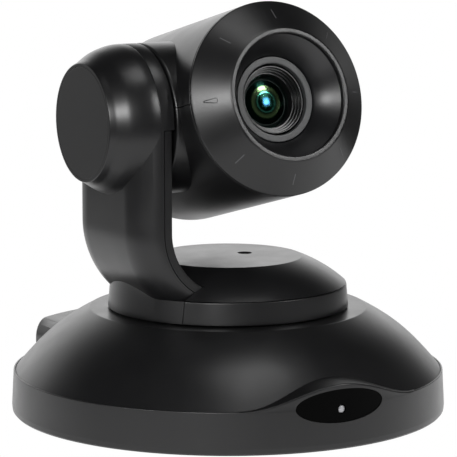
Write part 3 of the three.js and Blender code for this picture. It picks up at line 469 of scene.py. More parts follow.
def repeat(obj, material, count, start=None, step=None, offset=None):
    """Repeats an object's mesh count times, round Z by a start and a step, or along an offset."""
    tree = copies_tree(obj.name + "_copies", material, offset is None)
    values = {"Count": count, "Start": start, "Step": step, "Offset": offset}
    modifier = obj.modifiers.new("copies", "NODES")
    modifier.node_group = tree
    for socket in tree.interface.items_tree:
        if socket.in_out == "INPUT" and values.get(socket.name) is not None:
            modifier[socket.identifier] = values[socket.name]
    bake(obj)
    bpy.data.node_groups.remove(tree)
    return obj


# ------------------------------------------------------------------ finishes

class Surface:
    """A material being wired up: a Principled shader, with textures that stay fixed to the piece."""

    def __init__(self, name):
        self.material = bpy.data.materials.new(name)
        self.material.use_nodes = True
        self.nodes = self.material.node_tree.nodes
        self.link = self.material.node_tree.links.new
        self.shader = self.nodes["Principled BSDF"]
        self.place = self.nodes.new("ShaderNodeTexCoord").outputs["Object"]

    def set(self, **values):
        for name, value in values.items():
            self.shader.inputs[name.replace("_", " ")].default_value = value
        return self

    def noise(self, scale, detail=2.0, stretch=None):
        place = self.place
        if stretch:
            mapping = self.nodes.new("ShaderNodeMapping")
            mapping.inputs["Scale"].default_value = stretch
            self.link(place, mapping.inputs["Vector"])
            place = mapping.outputs["Vector"]
        node = self.nodes.new("ShaderNodeTexNoise")
        node.inputs["Scale"].default_value = scale
        node.inputs["Detail"].default_value = detail
        self.link(place, node.inputs["Vector"])
        return node.outputs["Fac"]

    def spread(self, value, low, high, socket):
        """Carries a texture's middle values to a socket, from low to high."""
        node = self.nodes.new("ShaderNodeMapRange")
        node.inputs["From Min"].default_value = 0.3
        node.inputs["From Max"].default_value = 0.7
        node.inputs["To Min"].default_value = low
        node.inputs["To Max"].default_value = high
        self.link(value, node.inputs["Value"])
        self.link(node.outputs["Result"], self.shader.inputs[socket])
        return self

    def tint(self, value, dark, light):
        """Colours the piece between two colours by a texture."""
        node = self.nodes.new("ShaderNodeValToRGB")
        node.color_ramp.elements[0].position = 0.3
        node.color_ramp.elements[1].position = 0.7
        node.color_ramp.elements[0].color = (*dark, 1)
        node.color_ramp.elements[1].color = (*light, 1)
        self.link(value, node.inputs["Fac"])
        self.link(node.outputs["Color"], self.shader.inputs["Base Color"])
        return self

    def bump(self, value, strength, depth):
        node = self.nodes.new("ShaderNodeBump")
        node.inputs["Strength"].default_value = strength
        node.inputs["Distance"].default_value = depth
        self.link(value, node.inputs["Height"])
        self.link(node.outputs["Normal"], self.shader.inputs["Normal"])
        return self


def shades(colour_value, amount):
    """The same colour a little darker and a little lighter."""
    return [tuple(min(1.0, c * factor) for c in colour_value) for factor in (1 - amount, 1 + amount)]


def darker(colour_value, share_kept):
    return tuple(share_kept * c for c in colour_value)


def moulded(name, colour_value, roughness, grain=0.25, variation=0.12):
    """Moulded plastic with a fine etched texture and slightly uneven gloss."""
    made = Surface(name)
    made.tint(made.noise(30, 4), *shades(colour_value, variation))
    made.spread(made.noise(90, 3), roughness - 0.02, roughness + 0.02, "Roughness")
    made.bump(made.noise(2600, 3), grain, 0.06 * MM)
    return made.set(IOR=1.5, Specular_IOR_Level=0.36).material


def polished(name, colour_value, roughness, shine=0.5):
    made = Surface(name)
    made.tint(made.noise(40, 2), *shades(colour_value, 0.2))
    made.spread(made.noise(60, 3), roughness, roughness + 0.06, "Roughness")
    return made.set(IOR=1.52, Specular_IOR_Level=shine).material


def metal(name, colour_value, roughness, stretch=(1, 1, 30), grain=0.12):
    """Metal with fine lines from turning or rolling."""
    made = Surface(name)
    lines = made.noise(120, 4, stretch)
    made.tint(made.noise(25, 3), *shades(colour_value, 0.08))
    made.spread(lines, roughness - 0.06, roughness + 0.08, "Roughness")
    made.bump(lines, grain, 0.05 * MM)
    return made.set(Metallic=1.0).material


def enamelled(name, colour_value, roughness):
    """Powder coat over steel."""
    made = Surface(name)
    made.tint(made.noise(35, 3), *shades(colour_value, 0.15))
    made.spread(made.noise(200, 2), roughness - 0.04, roughness + 0.06, "Roughness")
    made.bump(made.noise(1500, 2), 0.3, 0.08 * MM)
    return made.material


def rubber(name, colour_value):
    made = Surface(name)
    made.tint(made.noise(80, 3), *shades(colour_value, 0.25))
    made.spread(made.noise(300, 2), 0.75, 0.92, "Roughness")
    made.bump(made.noise(900, 3), 0.4, 0.1 * MM)
    return made.material


def circuit(name, colour_value):
    """Solder mask with faint copper tracks under it."""
    made = Surface(name)
    tracks = made.noise(260, 1, (1, 6, 1))
    made.tint(tracks, *shades(colour_value, 0.35))
    made.spread(made.noise(90, 2), 0.28, 0.4, "Roughness")
    made.bump(tracks, 0.25, 0.05 * MM)
    return made.material


def along_lens(made, unit=1.0):
    """Places on a piece as the lens has them, with Z along its axis, in the given unit."""
    node = made.nodes.new("ShaderNodeMapping")
    turn = HEAD.inverted()
    node.inputs["Location"].default_value = turn.to_translation() / unit
    node.inputs["Rotation"].default_value = turn.to_euler()
    node.inputs["Scale"].default_value = (1 / unit, 1 / unit, 1 / unit)
    made.link(made.place, node.inputs["Vector"])
    return node.outputs["Vector"]


def coated(name, first, second, clear, reach):
    """Clear glass with a coating that shines in one colour on one side and in another across from it."""
    made = Surface(name)
    split = made.nodes.new("ShaderNodeSeparateXYZ")
    made.link(along_lens(made), split.inputs["Vector"])
    across = made.nodes.new("ShaderNodeMapRange")
    across.inputs["From Min"].default_value = -reach
    across.inputs["From Max"].default_value = reach
    made.link(split.outputs["X"], across.inputs["Value"])
    ramp = made.nodes.new("ShaderNodeValToRGB")
    ramp.color_ramp.elements[0].color = (*first, 1)
    ramp.color_ramp.elements[1].color = (*second, 1)
    middle = ramp.color_ramp.elements.new(0.5)
    middle.color = (*[(a + b) / 6 for a, b in zip(first, second)], 1)
    made.link(across.outputs["Result"], ramp.inputs["Fac"])
    made.link(ramp.outputs["Color"], made.shader.inputs["Base Color"])
    made.set(Metallic=1.0, Roughness=0.03)
    window = made.nodes.new("ShaderNodeBsdfTransparent")
    window.inputs["Color"].default_value = (0.8, 0.92, 0.88, 1)
    facing = made.nodes.new("ShaderNodeLayerWeight")
    facing.inputs["Blend"].default_value = 1 - clear
    mix = made.nodes.new("ShaderNodeMixShader")
    made.link(facing.outputs["Fresnel"], mix.inputs["Fac"])
    made.link(window.outputs["BSDF"], mix.inputs[1])
    made.link(made.shader.outputs["BSDF"], mix.inputs[2])
    made.link(mix.outputs["Shader"], made.nodes["Material Output"].inputs["Surface"])
    return made.material


def ringed(name, look, radius):
    """Mirror-like coated glass, tinted in rings round the lens's axis."""
    made = Surface(name)
    flat = made.nodes.new("ShaderNodeVectorMath")
    flat.operation = "MULTIPLY"
    flat.inputs[1].default_value = (1, 1, 0)
    made.link(along_lens(made, radius), flat.inputs[0])
    out = made.nodes.new("ShaderNodeVectorMath")
    out.operation = "LENGTH"
    made.link(flat.outputs["Vector"], out.inputs[0])
    dark = (0.01, 0.03, 0.025)
    rings = [
        (0.0, look.blue), (0.3, dark), (0.5, dark), (0.56, look.teal),
        (0.62, dark), (0.84, look.amber), (0.95, dark),
    ]
    ramp = made.nodes.new("ShaderNodeValToRGB")
    while len(ramp.color_ramp.elements) < len(rings):
        ramp.color_ramp.elements.new(0.5)
    for element, (place, tint) in zip(ramp.color_ramp.elements, rings):
        element.position = place
        element.color = (*darker(tint, 0.4), 1)
    made.link(out.outputs["Value"], ramp.inputs["Fac"])
    made.link(ramp.outputs["Color"], made.shader.inputs["Base Color"])
    return made.set(Metallic=1.0, Roughness=0.12).material


FINISHES = {}


def make_finishes(look):
    """A material for each slot of the record, and a few more for single pieces."""
    FINISHES.update({
        "satin_plastic": moulded("satin plastic", look.plastic, look.plastic_roughness),
        "ring_plastic": moulded("ring plastic", look.ring, 0.42, 0.15),
        "gloss_plastic": polished("gloss plastic", look.gloss, 0.3),
        "lamp_plastic": polished("lamp plastic", look.lamp, 0.2),
        "glass": coated("inner glass", look.blue, look.amber, 0.6, 7 * MM),
        "rubber": rubber("rubber", look.rubber),
        "steel": metal("steel", look.steel, 0.3),
        "painted_steel": enamelled("painted steel", look.painted, 0.5),
        "brass": metal("brass", look.brass, 0.28),
        "aluminium": metal("aluminium", look.aluminium, 0.38, (1, 1, 1), 0.3),
        "board_green": circuit("circuit board", look.board),
        "white_plastic": moulded("white plastic", look.white, 0.45),
        "mark": moulded("printed mark", look.mark, 0.45, 0.1),
        "groove": moulded("engraved mark", look.gloss, 0.6, 0.1),
        "window": polished("window", look.window, 0.06, 0.02),
        "front_glass": coated("front glass", darker(look.teal, 0.15), darker(look.amber, 0.2), 0.9, 10 * MM),
        "iridescent": ringed("inner coating", look, 7.3 * MM),
        "gold": metal("gold", look.gold, 0.2),
        "barrel": moulded("lens barrel", look.plastic, 0.3, 0.1),
    })


def dress(obj, body, slot, nodes=(), finish=None, crease=32):
    """Smooths a finished piece, gives it its finish and fixes it to its body."""
    mesh = obj.data
    mesh.polygons.foreach_set("use_smooth", [True] * len(mesh.polygons))
    mesh.set_sharp_from_angle(angle=math.radians(crease))
    mesh.materials.clear()
    mesh.materials.append(FINISHES[finish or slot])
    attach(obj, body)
    if nodes:
        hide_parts(*nodes)
    return obj


# ------------------------------------------------------------------ base

def dome(name, size, inset):
    """The dome and the band as a solid, set in from the outer surface."""
    band_top = BASE_LOW + size.band_height
    crease = Vector((size.flat_radius, ANNULUS_Z))
    edge = Vector((size.radius - size.lip, band_top - 0.3 * MM))
    run, fall = edge.x - crease.x, crease.y - edge.y
    second = crease + Vector((0.444 * run, -0.282 * fall))
    third = edge + Vector((-0.364 * run, 0.517 * fall))
    line = bezier((crease, second, third, edge), 30)
    slope = [place + inset * Vector((along.y, -along.x)) for place, along in line]
    top = ANNULUS_Z - inset
    if inset:
        wall = size.radius - inset
        outline = [(p.x, p.y) for p in slope]
        return lathe(name, [(0, top), *outline, (wall, band_top - inset), (wall, 0), (0, 0)])
    crown = rounded([(0, top, 0), (*slope[0], 1.2 * MM), (*slope[2], 0)], closed=False)
    band = rounded([
        (*slope[-1], 0),
        (size.radius - size.lip + 0.12 * MM, band_top, 0.1 * MM),
        (size.radius, band_top, 0.6 * MM),
        (size.radius + size.flare, BASE_LOW + size.flare_height, 1.5 * MM),
        (size.radius + size.flare - 0.2 * MM, BASE_LOW + 0.7 * MM, 0.3 * MM),
        (size.radius, BASE_LOW, 0),
    ], closed=False)
    middle = [(p.x, p.y) for p in slope[3:-1]]
    return lathe(name, [*crown, *middle, *band, (0, BASE_LOW)])


def raised_wall(name, size, tops, inset, side, slope, inner):
    """A wall on the band's circle whose top follows (x, height) points, with a ledge behind it."""
    radius = size.radius - inset
    low = BASE_LOW + size.band_height - inset - 2 * MM
    edge = 0.7 * MM
    sections = []
    for x, top in tops:
        wall = math.sqrt(radius ** 2 - x ** 2)
        corner = rounded([
            (inner, low, 0),
            (wall, low, 0),
            (wall, top, edge),
            (inner, top + (wall - inner) * math.tan(slope), 0),
        ], steps=4, support=0.25 * MM)
        sections.append([(x, side * out, height) for out, height in corner])
    return loft(name, sections)


def brow(name, size, inset):
    """The edge that rises over the window."""
    count = 64
    tops = []
    for i in range(count + 1):
        turn = size.brow_angle * (2 * i / count - 1)
        rise = 0.5 * size.brow_rise * (1 + math.cos(math.pi * turn / size.brow_angle))
        tops.append((size.radius * math.sin(turn), BASE_LOW + size.band_height + rise + 0.02 * MM - inset))
    return raised_wall(name, size, tops, inset, -1, size.brow_slope, 0.55 * size.radius)


def hood(name, size, inset):
    """The wall that rises round the connectors."""
    half = size.hood_width - inset
    top = BASE_LOW + size.hood_height - inset
    corner = size.hood_corner - inset
    left = arc((corner - half, top - corner), (corner, corner), (180, 90), 10)
    right = arc((half - corner, top - corner), (corner, corner), (90, 0), 10)
    reach = half - corner
    middle = [(-reach + 2 * reach * i / 24, top) for i in range(1, 24)]
    return raised_wall(name, size, [*left, *middle, *right], inset, 1, 0, 0.35 * size.radius)


def oval(name, size, extra):
    """The window's oval carried along Y through the band."""
    centre = (0, BASE_LOW + size.window_centre)
    outline = arc(centre, (size.window_width + extra, size.window_height + extra), (0, 360), 96)[:-1]
    return loft(name, [[(x, y, z) for x, z in outline] for y in (-1.1 * size.radius, -0.8 * size.radius)])


def housing(size):
    shell = join(dome("base_shell", size, 0), brow("brow", size, 0), hood("hood", size, 0))
    wall = size.wall
    inside = join(dome("inside", size, wall), brow("brow", size, wall), hood("hood", size, wall))
    opening = block(
        "opening",
        (-size.recess_width, size.recess_width),
        (PANEL_FACE - 1.2 * MM, 1.1 * size.radius),
        (BASE_LOW + size.recess_low, BASE_LOW + size.recess_high),
    )
    hole = lathe("hole", [(0, ANNULUS_Z - 9 * MM), (size.turret_hole, ANNULUS_Z - 9 * MM),
                          (size.turret_hole, ANNULUS_Z + MM), (0, ANNULUS_Z + MM)])
    return cut(shell, inside, oval("oval", size, 0), opening, hole)


def window_pane(size):
    outer = size.radius - 0.25 * MM
    inner = outer - size.window_thickness
    low, high = BASE_LOW, ANNULUS_Z
    wall = lathe("window_pane", [(inner, low), (outer, low), (outer, high), (inner, high)], segments=360)
    lamp_height = BASE_LOW + size.window_centre - size.receiver_drop
    lamp_room = size.receiver_radius + 0.15 * MM
    lamp_hole = lathe("lamp_hole", [(0, 0.8 * size.radius), (lamp_room, 0.8 * size.radius),
                                    (lamp_room, 1.1 * size.radius), (0, 1.1 * size.radius)],
                      Matrix.Translation((0, 0, lamp_height)) @ Matrix.Rotation(math.pi / 2, 4, "X"), 48)
    return cut(common(wall, oval("oval", size, -GAP / 2)), lamp_hole)


def lamp(size):
    radius = size.receiver_radius
    tip = size.radius - 0.3 * MM
    dome_line = arc((0, tip - radius / 2), (radius, radius / 2), (0, 90), 10)[:-1]
    profile = [(0, tip - 4 * MM), (radius, tip - 4 * MM), *dome_line, (0, tip)]
    height = BASE_LOW + size.window_centre - size.receiver_drop
    return lathe("window_lamp", profile,
                 Matrix.Translation((0, 0, height)) @ Matrix.Rotation(math.pi / 2, 4, "X"), 48)


def feet(size):
    """Four feet with a shallow ring moulded into each sole."""
    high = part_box("foot_front_left")[1].z
    radius = size.foot_radius
    profile = rounded([
        (0, 0.3 * MM, 0),
        (0.55 * radius, 0.3 * MM, 0),
        (0.6 * radius, 0, 0.15 * MM),
        (radius, 0, 0.4 * MM),
        (radius, high, 0),
        (0, high, 0),
    ], closed=False)
    foot = lathe("feet", profile, Matrix.Translation((size.foot_circle, 0, 0)), 48)
    return repeat(foot, FINISHES["rubber"], 4, start=FULL_TURN / 8, step=FULL_TURN / 4)


# ------------------------------------------------------------------ connectors

def contacts(name, node, count, width, thickness, pitch, depth, rise):
    """A row of contacts inside a socket, standing off the top or the bottom of its hole."""
    low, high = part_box(node)
    middle = (low + high) / 2
    first = middle.x - pitch * (count - 1) / 2
    height = middle.z + rise
    strip = block(name, (first - width / 2, first + width / 2), (high.y - depth, high.y - 2.4 * MM),
                  (height, height + thickness))
    return repeat(strip, FINISHES["gold"], count, offset=(pitch, 0, 0))


def tongue(name, node, width, depth, thickness, rise):
    """The plastic tongue inside a socket."""
    low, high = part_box(node)
    middle = (low + high) / 2
    height = middle.z + rise
    outline = rounded([
        (middle.x - width / 2, high.y - depth, 0),
        (middle.x + width / 2, high.y - depth, 0),
        (middle.x + width / 2, high.y - 1.4 * MM, 0.4 * MM),
        (middle.x - width / 2, high.y - 1.4 * MM, 0.4 * MM),
    ])
    return prism(name, outline, height - thickness / 2, height + thickness / 2)


# ------------------------------------------------------------------ turret and arm

def cap_body(name, size, inset):
    """The turret's cap as a solid down to the base's edge, set in from the outer surface."""
    rim = size.top_radius - 0.2 * MM
    low = TURRET_BAND_TOP + GAP
    top = CAP_TOP - inset
    middle = Vector(((rim + size.disc_radius) / 2 + size.sag, (low + CAP_TOP) / 2 + size.sag))
    start = Vector((rim - inset, low - 0.3 * inset))
    crest = middle - inset * Vector((0.5, 0.85))
    end = Vector((size.disc_radius - 0.3 * inset, top))
    control = crest * 2 - (start + end) / 2
    steps = [i / 16 for i in range(17)]
    line = [start * (1 - t) ** 2 + control * (2 * t * (1 - t)) + end * t * t for t in steps]
    slope = [(p.x, p.y) for p in line]
    if inset:
        return lathe(name, [(0, BASE_LOW), (rim - inset, BASE_LOW), *slope, (0, top)])
    crown = rounded([(*slope[-2], 0), (*slope[-1], 0.45 * MM), (0, top, 0)], closed=False)
    return lathe(name, [(0, BASE_LOW), (rim, BASE_LOW), *slope[:-2], *crown])


def solid_rod(name, radius, low, high, place=None):
    return lathe(name, [(0, low), (radius, low), (radius, high), (0, high)], place)


def turret_cap(size, arm_size):
    half = arm_size.half_width + GAP
    bend_x = arm_size.inner_x - arm_size.bend_radius
    lid = cap_body("turret_top", size, 0)
    lid = common(lid, solid_rod("keep", size.radius, TURRET_BAND_TOP + GAP, CAP_TOP + MM))
    lid = cut(lid, cap_body("inside", size, size.wall))
    room = sweep("room", flat_outline(arm_size.bend_radius - GAP, arm_size.bend_radius + 40 * MM, half, 0),
                 arm_size, arm_size.bend_height + 5 * MM)
    side = block("side", (-2 * size.radius, -bend_x), (-half, half), (0, CAP_TOP + MM))
    lid = cut(lid, common(room, side))
    low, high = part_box("cap_screw")
    x, y = (low.x + high.x) / 2, (low.y + high.y) / 2
    screw_place = Matrix.Translation((x, y, 0))
    boss = solid_rod("boss", 4.6 * MM, low.z - GAP, CAP_TOP - MM, screw_place)
    mouth = rounded([
        (0, high.z - 2.2 * MM, 0),
        (size.hole_radius, high.z - 2.2 * MM, 0),
        (size.hole_radius, CAP_TOP - 0.25 * MM, 0),
        (size.hole_radius + 0.3 * MM, CAP_TOP + 0.05 * MM, 0),
        (size.hole_radius + 0.3 * MM, CAP_TOP + MM, 0),
        (0, CAP_TOP + MM, 0),
    ], closed=False)
    bore = solid_rod("bore", 1.8 * MM, 0, CAP_TOP, screw_place)
    return cut(join(lid, boss), lathe("mouth", mouth, screw_place, 64), bore)


def band_wall(name, size, half, on_arm_side):
    """The wall of the turret's band, on the arm's side or on the other side of the seams."""
    inner = size.top_radius - size.wall
    foot = size.top_radius - size.flange
    wall = lathe(name, rounded([
        (size.radius, TURRET_LOW, 0.35 * MM),
        (size.top_radius, TURRET_BAND_TOP, 0 if on_arm_side else 0.4 * MM),
        (inner, TURRET_BAND_TOP, 0),
        (inner, TURRET_LOW + size.wall, 0),
        (foot, TURRET_LOW + size.wall, 0),
        (foot, TURRET_LOW, 0),
    ]))
    seam = half + GAP + (0 if on_arm_side else GAP)
    side = block("side", (-2 * size.radius, 0), (-seam, seam), (0, CAP_TOP))
    return common(wall, side) if on_arm_side else cut(wall, side)


def flat_outline(inner, outer, half, edge):
    """A flat section of the arm, as distances from the bend's axis and across."""
    return rounded([(inner, -half, edge), (outer, -half, 0), (outer, half, 0), (inner, half, edge)])


def arm_outline(size, inset, innermost):
    """The arm's section with its rounded outer face, as distances from the bend's axis and across."""
    seam = size.bend_radius + size.cover
    half = size.half_width - inset
    depth = size.outer_x - size.inner_x + size.bend_radius - inset - seam
    width = size.corner_width - inset
    return [
        (innermost, -half),
        *arc((seam, width - half), (depth, width), (-90, 0), 20),
        *arc((seam, half - width), (depth, width), (0, 90), 20),
        (innermost, half),
    ]


def sweep(name, outline, size, top):
    """A section carried down the arm: straight from a height to the bend, then a quarter turn inward."""
    bend_x = size.inner_x - size.bend_radius
    sections = [[(-bend_x - out, across, top) for out, across in outline]]
    steps = 40
    for i in range(steps + 1):
        turn = math.pi / 2 * i / steps
        sections.append([
            (-bend_x - out * math.cos(turn), across, size.bend_height - out * math.sin(turn))
            for out, across in outline
        ])
    return loft(name, sections)


# How far the drum has swelled at each share of its length, from its flat end.
DRUM_SWELL = [
    (0.0, 0.0), (0.05, 0.09), (0.11, 0.2), (0.19, 0.39), (0.3, 0.63), (0.46, 0.85), (0.62, 0.98), (0.75, 1.0),
]


def eased(points, steps):
    """A smooth line through points, with steps between each pair."""
    made = []
    padded = [points[0], *points, points[-1]]
    for a, b, c, d in zip(padded, padded[1:], padded[2:], padded[3:]):
        for i in range(steps):
            t = i / steps
            made.append(tuple(
                0.5 * (2 * q + (r - p) * t + (2 * p - 5 * q + 4 * r - s) * t * t
                       + (3 * q - p - 3 * r + s) * t ** 3)
                for p, q, r, s in zip(a, b, c, d)
            ))
    return [*made, points[-1]]


def drum(name, size, inset):
    """The round drum as a solid, set in from the outer surface."""
    span = DRUM_END - size.drum_inner_x
    swell = size.drum_radius - size.drum_rim
    reach = DRUM_END - PIVOT.x
    end = reach - size.cap_thickness - GAP if inset else reach
    start = size.drum_inner_x - (MM if inset else 0)
    swelled = eased(DRUM_SWELL, 4)
    curve = [(size.drum_rim + swell * reached - inset, reach - part * span) for part, reached in swelled]
    curve = [point for point in curve if point[1] < end - 0.3 * MM]
    rim = curve[0][0] if inset else size.drum_rim
    if not inset:
        parting = size.collar_parting
        curve += [(size.drum_radius, parting + 0.2 * MM), (size.drum_radius - 0.12 * MM, parting),
                  (size.drum_radius, parting - 0.2 * MM)]
    corner = [(rim, end)]
    if not inset:
        corner = rounded([(0, end, 0), (rim, end, 0.5 * MM), (*curve[0], 0)], closed=False)[1:-1]
    return lathe(name, [(0, end), *corner, *curve, (size.drum_radius - inset, start), (0, start)], OUTBOARD)


def arm_shell(size, turret):
    """The outer shell: drum, arm and the arm's share of the turret's band, hollow inside."""
    seam_radius = size.bend_radius + size.cover
    bend_x = size.inner_x - size.bend_radius
    seam_x = size.inner_x + size.cover
    outer = size.outer_x - bend_x
    half = size.half_width + GAP
    top = PIVOT.z
    shell = join(drum("arm_shell", size, 0), sweep("arm", arm_outline(size, 0, seam_radius), size, top))
    far = 2 * turret.radius
    overhang = lathe("overhang", [(turret.top_radius, -MM), (far, -MM), (far, TURRET_BAND_TOP),
                                  (turret.top_radius, TURRET_BAND_TOP)])
    shell = cut(shell, cap_body("cap", turret, turret.wall + GAP), overhang)
    skirt = common(
        solid_rod("skirt", turret.top_radius, TURRET_BAND_TOP - turret.wall, CAP_TOP),
        block("side", (-far, -bend_x), (-half, half), (0, CAP_TOP)),
    )
    bend_place = Matrix.Translation((-bend_x, 0, size.bend_height)) @ Matrix.Rotation(math.pi / 2, 4, "X")
    skirt = cut(skirt, solid_rod("bend", outer - 0.5 * MM, -2 * half, 2 * half, bend_place))
    shelf = common(
        solid_rod("shelf", turret.top_radius, TURRET_BAND_TOP - turret.wall, TURRET_BAND_TOP),
        block("side", (-far, -bend_x - 0.6 * seam_radius), (-half, half), (0, CAP_TOP)),
    )
    shell = join(shell, band_wall("band", turret, size.half_width, True), skirt, shelf)
    floor = top - size.drum_radius - MM
    cover_top = top - size.collar_drop + GAP
    cap_low = DRUM_END - size.cap_thickness - 2 * GAP
    return cut(
        shell,
        drum("hollow", size, size.wall),
        sweep("hollow", arm_outline(size, size.wall, seam_radius - 2 * MM), size, top),
        block("side", (-seam_x, 0), (-far, far), (floor, cover_top)),
        solid_rod("seat", size.cap_radius, cap_low, DRUM_END + MM, OUTBOARD),
    )


def arm_cover(size, turret):
    seam_radius = size.bend_radius + size.cover
    seam_x = size.inner_x + size.cover
    strip = sweep("arm_cover", flat_outline(size.bend_radius, seam_radius - GAP, size.half_width, 0.6 * MM),
                  size, PIVOT.z - size.collar_drop)
    strip = cut(strip, cap_body("cap", turret, turret.wall + GAP))
    face = seam_x - GAP
    disc = solid_rod("disc", size.drum_radius - size.wall - GAP, face - 2 * MM, face, OUTBOARD)
    return cut(join(strip, disc), solid_rod("hole", size.bearing_radius + GAP, 0, DRUM_END, OUTBOARD))


def end_cap(size):
    radius = size.cap_radius - 0.1 * MM
    low = DRUM_END - size.cap_thickness
    corners = [(0, low, 0), (radius, low, 0), (radius, DRUM_END, 0.15 * MM), (0, DRUM_END, 0)]
    return lathe("drum_cap", rounded(corners, closed=False), OUTBOARD)


# ------------------------------------------------------------------ head

def head_body(name, size, inset):
    """The barrel with its hub as a solid, set in from the outer surface."""
    back = inset - size.rear
    rounding = size.rear_round - inset / 2
    rear_radius = size.rear_radius - inset
    front = size.front + (MM if inset else -size.skirt - GAP)
    edge = arc((rear_radius - rounding, back + rounding), (rounding, rounding), (-90, 0), 16)
    lip = [(size.radius - inset, front)] if inset else rounded(
        [(*edge[-1], 0), (size.radius, front, 0.2 * MM), (0, front, 0)], closed=False)[1:-1]
    barrel = lathe(name, [(0, back), (0.6 * (rear_radius - rounding), back), *edge, *lip, (0, front)])
    radius, end = size.hub_radius - inset, size.hub_x - inset
    hub_line = rounded([(0, 0, 0), (radius, 0, 0), (radius, end, 1.1 * MM), (0, end, 0)], closed=False)
    sideways = Matrix.Rotation(-math.pi / 2, 4, "Y")
    return join(barrel, lathe("hub", hub_line, sideways))


def head_half(name, size, side):
    """The upper or the lower shell of the head."""
    reach = 2 * size.rear
    near = (GAP / 2) * side
    half = block("half", (-reach, reach), sorted((near, side * reach)), (-reach, reach))
    shell = cut(common(head_body(name, size, 0), half), head_body("hollow", size, size.wall))
    shaft_end = -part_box("tilt_shaft")[0].x
    sideways = Matrix.Rotation(-math.pi / 2, 4, "Y")
    shell = cut(shell, solid_rod("hole", size.shaft_hole, size.hub_x - 6 * MM, shaft_end, sideways))
    shell.data.transform(HEAD)
    return shell


def bezel(size):
    back = size.front - size.skirt
    rim, hole = size.rim_radius, size.hole_radius
    return lathe("bezel", rounded([
        (size.radius, back, 0.15 * MM),
        (size.radius, size.front, 0.9 * MM),
        (rim + 0.5 * MM, size.bezel_front - 0.4 * MM, 0.4 * MM),
        (rim - 0.2 * MM, size.bezel_front, 0.4 * MM),
        (hole, size.bezel_front, 0.5 * MM),
        (hole, size.bezel_front - size.rim_depth, 0),
        (rim - 0.5 * MM, size.bezel_front - size.rim_depth, 0),
        (size.radius - size.wall, back, 0),
    ]), HEAD, 256)


def on_cone(size, along):
    """Where a mark sits on the bezel's cone, and how it lies, with X running outward along the slope."""
    outer = Vector((size.radius, size.front))
    inner = Vector((size.rim_radius + 0.5 * MM, size.bezel_front - 0.4 * MM))
    spot = inner.lerp(outer, along)
    slope = (outer - inner).normalized()
    x, z = Vector((slope.x, 0, slope.y)), Vector((-slope.y, 0, slope.x))
    return columns(x, z.cross(x), z, Vector((spot.x, 0, spot.y)))


def bezel_marks(size):
    """Short marks round the cone, every eighth of a turn but one."""
    half, round_end = size.mark_length / 2, size.mark_width / 2
    outline = [*arc((half - round_end, 0), (round_end, round_end), (-90, 90), 8),
               *arc((round_end - half, 0), (round_end, round_end), (90, 270), 8)]
    mark = prism("bezel_marks", outline, -0.1 * MM, 0.035 * MM, on_cone(size, 0.5))
    step = FULL_TURN / 8
    marks = repeat(mark, FINISHES["mark"], 7, start=FULL_TURN / 2 + step, step=step)
    marks.data.transform(HEAD)
    return marks


def bezel_groove(size):
    """The outline of a drop, in the eighth place, with its wide end towards the lens."""
    half, wide, line = 0.52 * size.mark_length, 0.95 * MM, 0.3 * MM

    def drop(grow):
        round_part = arc((wide - half, 0), (wide + grow, wide + grow), (75, 285), 24)
        return [*round_part, (half + 2 * grow, -0.25 * MM - grow), (half + 2 * grow, 0.25 * MM + grow)]

    outer = prism("bezel_groove", drop(line / 2), -0.1 * MM, 0.02 * MM)
    inner = prism("inner", drop(-line / 2), -0.3 * MM, 0.3 * MM)
    ring = cut(outer, inner)
    ring.data.transform(HEAD @ Matrix.Rotation(math.pi, 4, "Z") @ on_cone(size, 0.5))
    return ring


def shroud(size, head):
    """The polished funnel between the bezel's rim and the flat ring."""
    mouth = head.bezel_front - head.rim_depth - GAP
    floor = size.ring_front - size.ring_thickness
    seat = size.ring_radius + GAP
    wall = size.shroud_wall
    start, end = Vector((head.hole_radius, mouth)), Vector((seat, size.ring_front))
    bulge = 0.35 * MM
    steps = [i / 12 for i in range(13)]
    inside = [start.lerp(end, t) - Vector((bulge * math.sin(math.pi * t), 0)) for t in steps]
    return lathe("lens_funnel", [*[(p.x, p.y) for p in inside], (seat, floor), (seat + wall, floor),
                                 (head.hole_radius + wall, mouth)], HEAD)


def flat_ring(size):
    back = size.ring_front - size.ring_thickness
    return lathe("lens_ring_face", rounded([
        (size.ring_hole, back, 0),
        (size.ring_radius, back, 0),
        (size.ring_radius, size.ring_front, 0.25 * MM),
        (size.ring_hole, size.ring_front, 0.4 * MM),
    ]), HEAD)


def glass_front(size):
    return size.ring_front - size.set_back - 4 * size.step_depth


def lens_barrel(size):
    """The barrel with three rounded steps down to the glass."""
    front = size.ring_front - size.set_back
    stairs = []
    for step in range(3):
        radius = size.barrel_radius - (step + 1) * size.step_width
        depth = front - step * size.step_depth
        stairs += [(radius, depth, 0.2 * MM), (radius, depth - size.step_depth, 0.1 * MM)]
    seat = size.glass_radius + 0.1 * MM
    floor = glass_front(size) - size.glass_thickness - GAP
    shoulder = front - size.wide_length
    return lathe("barrel", rounded([
        (size.barrel_radius, front, 0.3 * MM),
        *stairs,
        (seat, front - 3 * size.step_depth, 0.2 * MM),
        (seat, floor, 0),
        (size.bore, floor, 0.2 * MM),
        (size.bore, size.neck_end, 0),
        (size.neck_radius, size.neck_end, 0),
        (size.neck_radius, shoulder, 0),
        (size.barrel_radius, shoulder, 0),
    ]), HEAD)


def crown_of(radius, crown):
    """The radius of the sphere that bulges by the crown over a glass, and half of the angle it covers."""
    sphere = (radius ** 2 + crown ** 2) / (2 * crown)
    return sphere, math.degrees(math.asin(radius / sphere))


def glass(name, radius, front, crown, thickness):
    """A lens with a domed front."""
    sphere, reach = crown_of(radius, crown)
    line = arc((0, front - sphere), (sphere, sphere), (90 - reach, 90), 20)[:-1]
    return lathe(name, [(0, front - thickness), (radius, front - thickness), *line, (0, front)], HEAD, 128)


